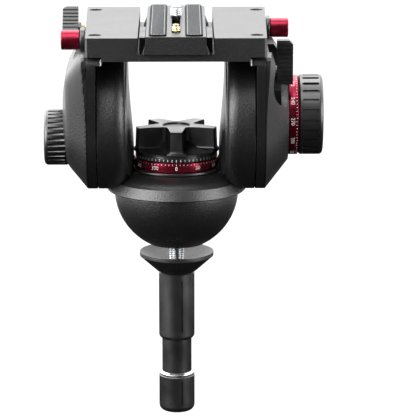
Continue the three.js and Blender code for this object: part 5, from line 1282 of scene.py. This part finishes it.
def fluted_knob(name, sizes, round_edge, flutes, dish, centre, tail):
    """A knob about X: a turned body, and flute cutters with round ends spaced round it. Its sizes
    are radius, near end and far end, its flutes count, width and depth, its dish radius and depth."""
    radius, near, far = sizes
    count, width, depth = flutes
    dish_radius, dish_depth = dish
    edge = arc_points(radius - round_edge, far - round_edge, round_edge, 0, pi / 2, 8)
    body = turned_piece(name, tail + [(radius - depth, near), (radius, near + depth)] + edge + [
        (dish_radius + 0.3, far), (dish_radius, far - 0.2), (dish_radius - dish_depth, far - dish_depth),
        (0, far - dish_depth),
    ], count * 8, 'X', centre)
    half = (far - round_edge - near - depth * 2) / 2
    middle = near + depth * 2 + half
    outline = shifted(rounded_box(half, width / 2, width / 2 - 0.01), middle, centre[1])
    top = centre[2] + radius
    cutter = outline_piece('flute_cutter', outline, top - depth, top + 2, 'Z')
    carve(body, repeat_round(cutter, count, 'X', centre))
    return finish_edges(body, 0.45, limit=40, smooth=35)


tilt_knob = fluted_knob('tilt_drag_knob_fluted', TILT_KNOB, 3, TILT_FLUTES, TILT_DISH,
                        (0, 0, TILT), TILT_TAIL)
dress(tilt_knob, grip_plastic, 'tilt_knob', 'knob_black', 'tilt_drag_knob')


# Counterbalance knob
# Moulded nylon with 30 fine flutes, seated in the left dome below the tilt axis.
COUNTER_KNOB = (22.3, 86.9, 106.1)
COUNTER_FLUTES = (30, 2.0, 1.0)
COUNTER_DISH = (11.2, 0.9)
COUNTER_TAIL = [(0, 84.9), (6, 84.9), (6, COUNTER_KNOB[1])]
counter_knob = fluted_knob('counterbalance_knob_fluted', COUNTER_KNOB, 3.2, COUNTER_FLUTES,
                           COUNTER_DISH, (0, 0, TILT - COUNTER_DROP), COUNTER_TAIL)
dress(mirror_mesh(counter_knob), grip_plastic, 'balance_knob', 'knob_black', 'counterbalance_knob')


# Bridge
# One machined aluminium block, powder coated, on top of both side plates: a channel for the
# camera plate runs along it, with ribs underneath and four counterbored screws.
SOCKET_RADIUS = 2.6
SOCKET_DEPTH = 1.9
kept_shape('platform', 'bridge_platform', 0.45, powder_black, 'cradle', 'satin_black', limit=30)

screw_top = TILT + PLATFORM_TOP - SCREW_SINK
under_head = screw_top - SCREW_HEAD
screw = turned_piece('bridge_screw', [
    (0, under_head - SCREW_REACH), (SCREW_STEM, under_head - SCREW_REACH), (SCREW_STEM, under_head),
    (SCREW_RADIUS, under_head), (SCREW_RADIUS, screw_top - 0.4), (SCREW_RADIUS - 0.4, screw_top),
    (0, screw_top),
], 48)
socket_floor = screw_top - SOCKET_DEPTH
carve(screw, round_cutter('socket', SOCKET_RADIUS, (0, 0, 0), socket_floor, screw_top + 1, 'Z', 6))
finish_edges(screw, 0, smooth=35)
zinc_steel = tooled_metal('zinc_plated_steel', '#c8cacc', 0.55, 0.5)
for side, way in (('left', -1), ('right', 1)):
    for place, (x, y) in zip(('front', 'rear'), SCREW_PLACES):
        copy = twin(screw, side + '_' + place + '_screw_head')
        copy.data.transform(Matrix.Translation(Vector((way * x, y, 0)) * MM))
        dress(copy, zinc_steel, 'cradle', 'bright_steel', side + '_' + place + '_screw')
bpy.data.objects.remove(screw, do_unlink=True)


# Jaws and plate clamp
# Two milled jaws grip the plate's flanks: the right one is fixed, and the left one is pressed
# in by a ribbed nylon lever on a brass nut at the left rear.
black_anodised = tooled_metal('black_anodised_aluminium', '#2a2a2c', 0.32, 0.4, 'Y')
kept_shape('fixed_jaw', 'fixed_jaw_milled', 0.25, black_anodised, 'cradle', 'knob_black')
kept_shape('clamp_jaw', 'clamp_jaw_milled', 0.25, black_anodised, 'clamp_jaw_slider', 'knob_black')
kept_shape('plate_clamp_lever', 'plate_clamp_grip', 0.25, grip_plastic, 'clamp_lever', 'knob_black')
kept_shape('plate_clamp_nut', 'plate_clamp_hexagon', 0.2, turned_brass, 'clamp_lever', 'brass')


# Tilt lock
# A ribbed nylon lever on a brass hexagon, in the front pocket of the right housing.
kept_shape('tilt_lock_lever', 'tilt_lock_grip', 0.25, grip_plastic, 'tilt_lever', 'knob_black')
kept_shape('tilt_lock_nut', 'tilt_lock_hexagon', 0.2, turned_brass, 'tilt_lever', 'brass')


# Push buttons
# Turned aluminium buttons, red anodised, in moulded bezels at both ends of the bridge. A spring
# inside returns them.
BUTTON_RADIUS = 7.8
BUTTON_START = 75.6
BUTTON_END = 90.6
BUTTON_STEM = (3, 12)
BEZEL_RADIUS = 9.8
BEZEL_BORE = 8.2


def red_button(name, spot):
    """A button on its stem, with a fine rim round a face that is sunk a little."""
    y, rise = spot
    radius, near, far = BUTTON_RADIUS, BUTTON_START, BUTTON_END
    stem, length = BUTTON_STEM
    return turned_piece(name, [
        (0, near - length), (stem, near - length), (stem, near), (radius - 0.7, near), (radius, near + 0.7),
        (radius, far - 0.9), (radius - 0.3, far - 0.3), (radius - 1, far), (radius - 2.4, far),
        (radius - 2.7, far - 0.35), (0, far - 0.35),
    ], 96, 'X', (0, y, TILT + rise))


left_button = mirror_mesh(red_button('left_button_turned', LEFT_BUTTON))
right_button = red_button('right_button_turned', RIGHT_BUTTON)
dress(finish_edges(left_button, 0, smooth=40), red_across, 'left_push', 'red_anodised', 'left_button')
dress(finish_edges(right_button, 0, smooth=40), red_across, 'right_push', 'red_anodised', 'right_button')
for side, (y, rise) in (('left', LEFT_BUTTON), ('right', RIGHT_BUTTON)):
    low_corner, high_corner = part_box(side + '_bezel')
    near = min(abs(low_corner[0]), abs(high_corner[0])) / MM
    far = BUTTON_START - FIT
    bezel = ring_piece(side + '_bezel_moulded', BEZEL_BORE, BEZEL_RADIUS, near, far, 0.4,
                       'X', (0, y, TILT + rise))
    if side == 'left':
        mirror_mesh(bezel)
    dress(finish_edges(bezel, 0, smooth=45), grip_plastic, 'cradle', 'knob_black', side + '_bezel')


# Sliding camera plate
# Extruded aluminium, milled and powder coated, with chamfered ends and a long slot for the
# camera screws. Two rubber pads are bonded in shallow beds, with a stitched line near the edge.
PLATE_TOP = TILT + 77.1
# The right pad: inner and outer side, front and back. A stitch: width, length and height.
PAD = (7.6, 20.6, -83.4, 71.9)
STITCH = (0.5, 1.7, 0.16)
PAD_CORNER = 3
PAD_LOW = PLATE_TOP - 0.3
PAD_TOP = PAD_LOW + 1.5
BORDER_WIDTH = 0.8
BORDER_RAISE = 0.12
STITCH_GAP = 0.9
STITCH_MARGIN = 1.5
kept_shape('sliding_plate', 'camera_plate', 0.35, powder_black, 'plate', 'satin_black', limit=30)


def pad_rubber(name, dark, light):
    """Nitrile rubber with ground cork: matt grey, finely speckled and slightly rough."""
    material, tree, place = base_tree(name)
    specks = add_node(tree, 'ShaderNodeTexVoronoi', {'Vector': place, 'Scale': 1 / (1.4 * MM)})
    fine = add_node(tree, 'ShaderNodeTexNoise', {'Vector': place, 'Scale': 1 / (1.6 * MM), 'Detail': 3.0})
    tone = add_node(tree, 'ShaderNodeMapRange', {
        'Value': fine.outputs['Fac'], 'From Min': 0.35, 'From Max': 0.65,
    })
    colour = add_node(tree, 'ShaderNodeMix', {
        'Factor': tone.outputs['Result'], 'A': linear(dark), 'B': linear(light),
    }, data_type='RGBA')
    bump = add_node(tree, 'ShaderNodeBump', {
        'Strength': 0.6, 'Distance': 0.06 * MM, 'Height': specks.outputs['Distance'],
    })
    skin = add_node(tree, 'ShaderNodeBsdfPrincipled', {
        'Base Color': colour.outputs['Result'], 'Normal': bump.outputs['Normal'],
        'Roughness': 0.85, 'Specular IOR Level': 0.3,
    })
    add_node(tree, 'ShaderNodeOutputMaterial', {'Surface': skin.outputs[0]})
    return material


# The cork grains are half a millimetre wide; they are drawn three times coarser to show at all.
grey_rubber = pad_rubber('grey_rubber_pad', '#151617', '#3c3d3f')
border_rubber = pad_rubber('pad_border_rubber', '#0c0c0d', '#161617')
pad_edge = pad_rubber('pad_stitching', '#7c7e80', '#9a9c9e')


def pad_outline(margin):
    """The right pad's outline, drawn in by a margin."""
    inner, outer, front, back = PAD
    half_x, half_y = (outer - inner) / 2 - margin, (back - front) / 2 - margin
    box = rounded_box(half_x, half_y, PAD_CORNER - margin, 6)
    return shifted(box, (inner + outer) / 2, (front + back) / 2)


right_pad = outline_piece('right_pad_rubber', pad_outline(0), PAD_LOW, PAD_TOP, 'Z')
finish_edges(right_pad, 0.35, segments=3, limit=50, smooth=40)
right_border = outline_piece('right_pad_border', pad_outline(0), PAD_LOW, PAD_TOP + BORDER_RAISE, 'Z')
carve(right_border, outline_piece('border_cutter', pad_outline(BORDER_WIDTH), PAD_LOW - 1, PAD_TOP + 1, 'Z'))
finish_edges(right_border, 0.2, limit=50, smooth=40)


def stitch_row(name):
    """Short raised dashes that follow the pad's edge."""
    inner, outer, front, back = PAD
    left, right = inner + STITCH_MARGIN, outer - STITCH_MARGIN
    width, length, height = STITCH
    step = length + STITCH_GAP
    dashes = []
    for i in range(int((back - front - 2 * STITCH_MARGIN - 4) / step) + 1):
        y = front + STITCH_MARGIN + 2 + i * step + length / 2
        dashes += [(x, y, (width, length, height)) for x in (left, right)]
    for i in range(int((right - left - 3) / step) + 1):
        x = left + 1.8 + i * step + length / 2
        dashes += [(x, y, (length, width, height)) for y in (front + STITCH_MARGIN, back - STITCH_MARGIN)]
    bpy.ops.object.select_all(action='DESELECT')
    bpy.ops.mesh.primitive_cube_add(size=1)
    block = bpy.context.object
    pieces = []
    for x, y, size in dashes:
        dash = twin(block, 'dash')
        dash.data.transform(Matrix.Diagonal((*[v * MM for v in size], 1)))
        dash.data.transform(Matrix.Translation(Vector((x, y, PAD_TOP)) * MM))
        pieces.append(dash)
    bpy.data.objects.remove(block, do_unlink=True)
    return joined(pieces, name)


right_stitches = stitch_row('right_pad_stitches')
left_pad = mirrored_twin(right_pad, 'left_pad_rubber')
left_stitches = mirrored_twin(right_stitches, 'left_pad_stitches')
left_border = mirrored_twin(right_border, 'left_pad_border')
dress(right_pad, grey_rubber, 'plate', 'rubber', 'right_pad')
dress(left_pad, grey_rubber, 'plate', 'rubber', 'left_pad')
for row in (right_stitches, left_stitches):
    dress(row, pad_edge, 'plate', 'rubber')
for border in (right_border, left_border):
    dress(border, border_rubber, 'plate', 'rubber')


# Camera screws and carriages
# A chromed 3/8 inch screw and a brass 1/4 inch screw, captive in small steel carriages that
# slide in the plate's groove. Each has a screwdriver slot across its end.
LARGE_SCREW = (4.76, 0.7, 1.59, 8, 7.4, 3)
LARGE_PLACE = 18
SMALL_SCREW = (3.17, 0.55, 1.27, 6, 5.6, 2.5)
SMALL_PLACE = -61
GROOVE_DROP = 6.7
CARRIAGE_HEIGHT = 2.4
HEAD_HEIGHT = 3.6
SLOT_HALF = 0.55
SLOT_DEPTH = 1.6
bright_chrome = tooled_metal('polished_chrome', '#c9cbce', 0.14, 0.3)
finish_nodes(ground_steel, 'large_screw_carriage', 'small_screw_carriage')


def camera_screw(name, sizes, place):
    """A turned screw with its head under the carriage and a slotted end. Its sizes are the thread's
    radius, depth and pitch, the height over the plate, and the radius of the head and the neck."""
    thread, depth, pitch, rise, head, neck = sizes
    head_top = PLATE_TOP - GROOVE_DROP - FIT - CARRIAGE_HEIGHT - FIT
    head_low = head_top - HEAD_HEIGHT
    low = PLATE_TOP + FIT
    top = PLATE_TOP + rise
    screw = turned_piece(name, [
        (0, head_low), (head - 0.7, head_low), (head, head_low + 0.7), (head, head_top), (neck, head_top),
        (neck, low), *thread_points(thread, depth, pitch, low + 0.2, top - 0.9), (thread - 0.5, top - 0.35),
        (thread - 0.9, top), (0, top),
    ], 64, 'Z', (0, place, 0))
    slot = shifted(rounded_box(thread + 1, SLOT_HALF, 0.1, 2), 0, place)
    carve(screw, outline_piece('slot_cutter', slot, top - SLOT_DEPTH, top + 1, 'Z'))
    return finish_edges(screw, 0, smooth=32)


large_screw = camera_screw('large_camera_screw_threaded', LARGE_SCREW, LARGE_PLACE)
small_screw = camera_screw('small_camera_screw_threaded', SMALL_SCREW, SMALL_PLACE)
dress(large_screw, bright_chrome, 'large_screw', 'chrome', 'large_camera_screw')
dress(small_screw, turned_brass, 'small_screw', 'brass', 'small_camera_screw')


low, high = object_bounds()
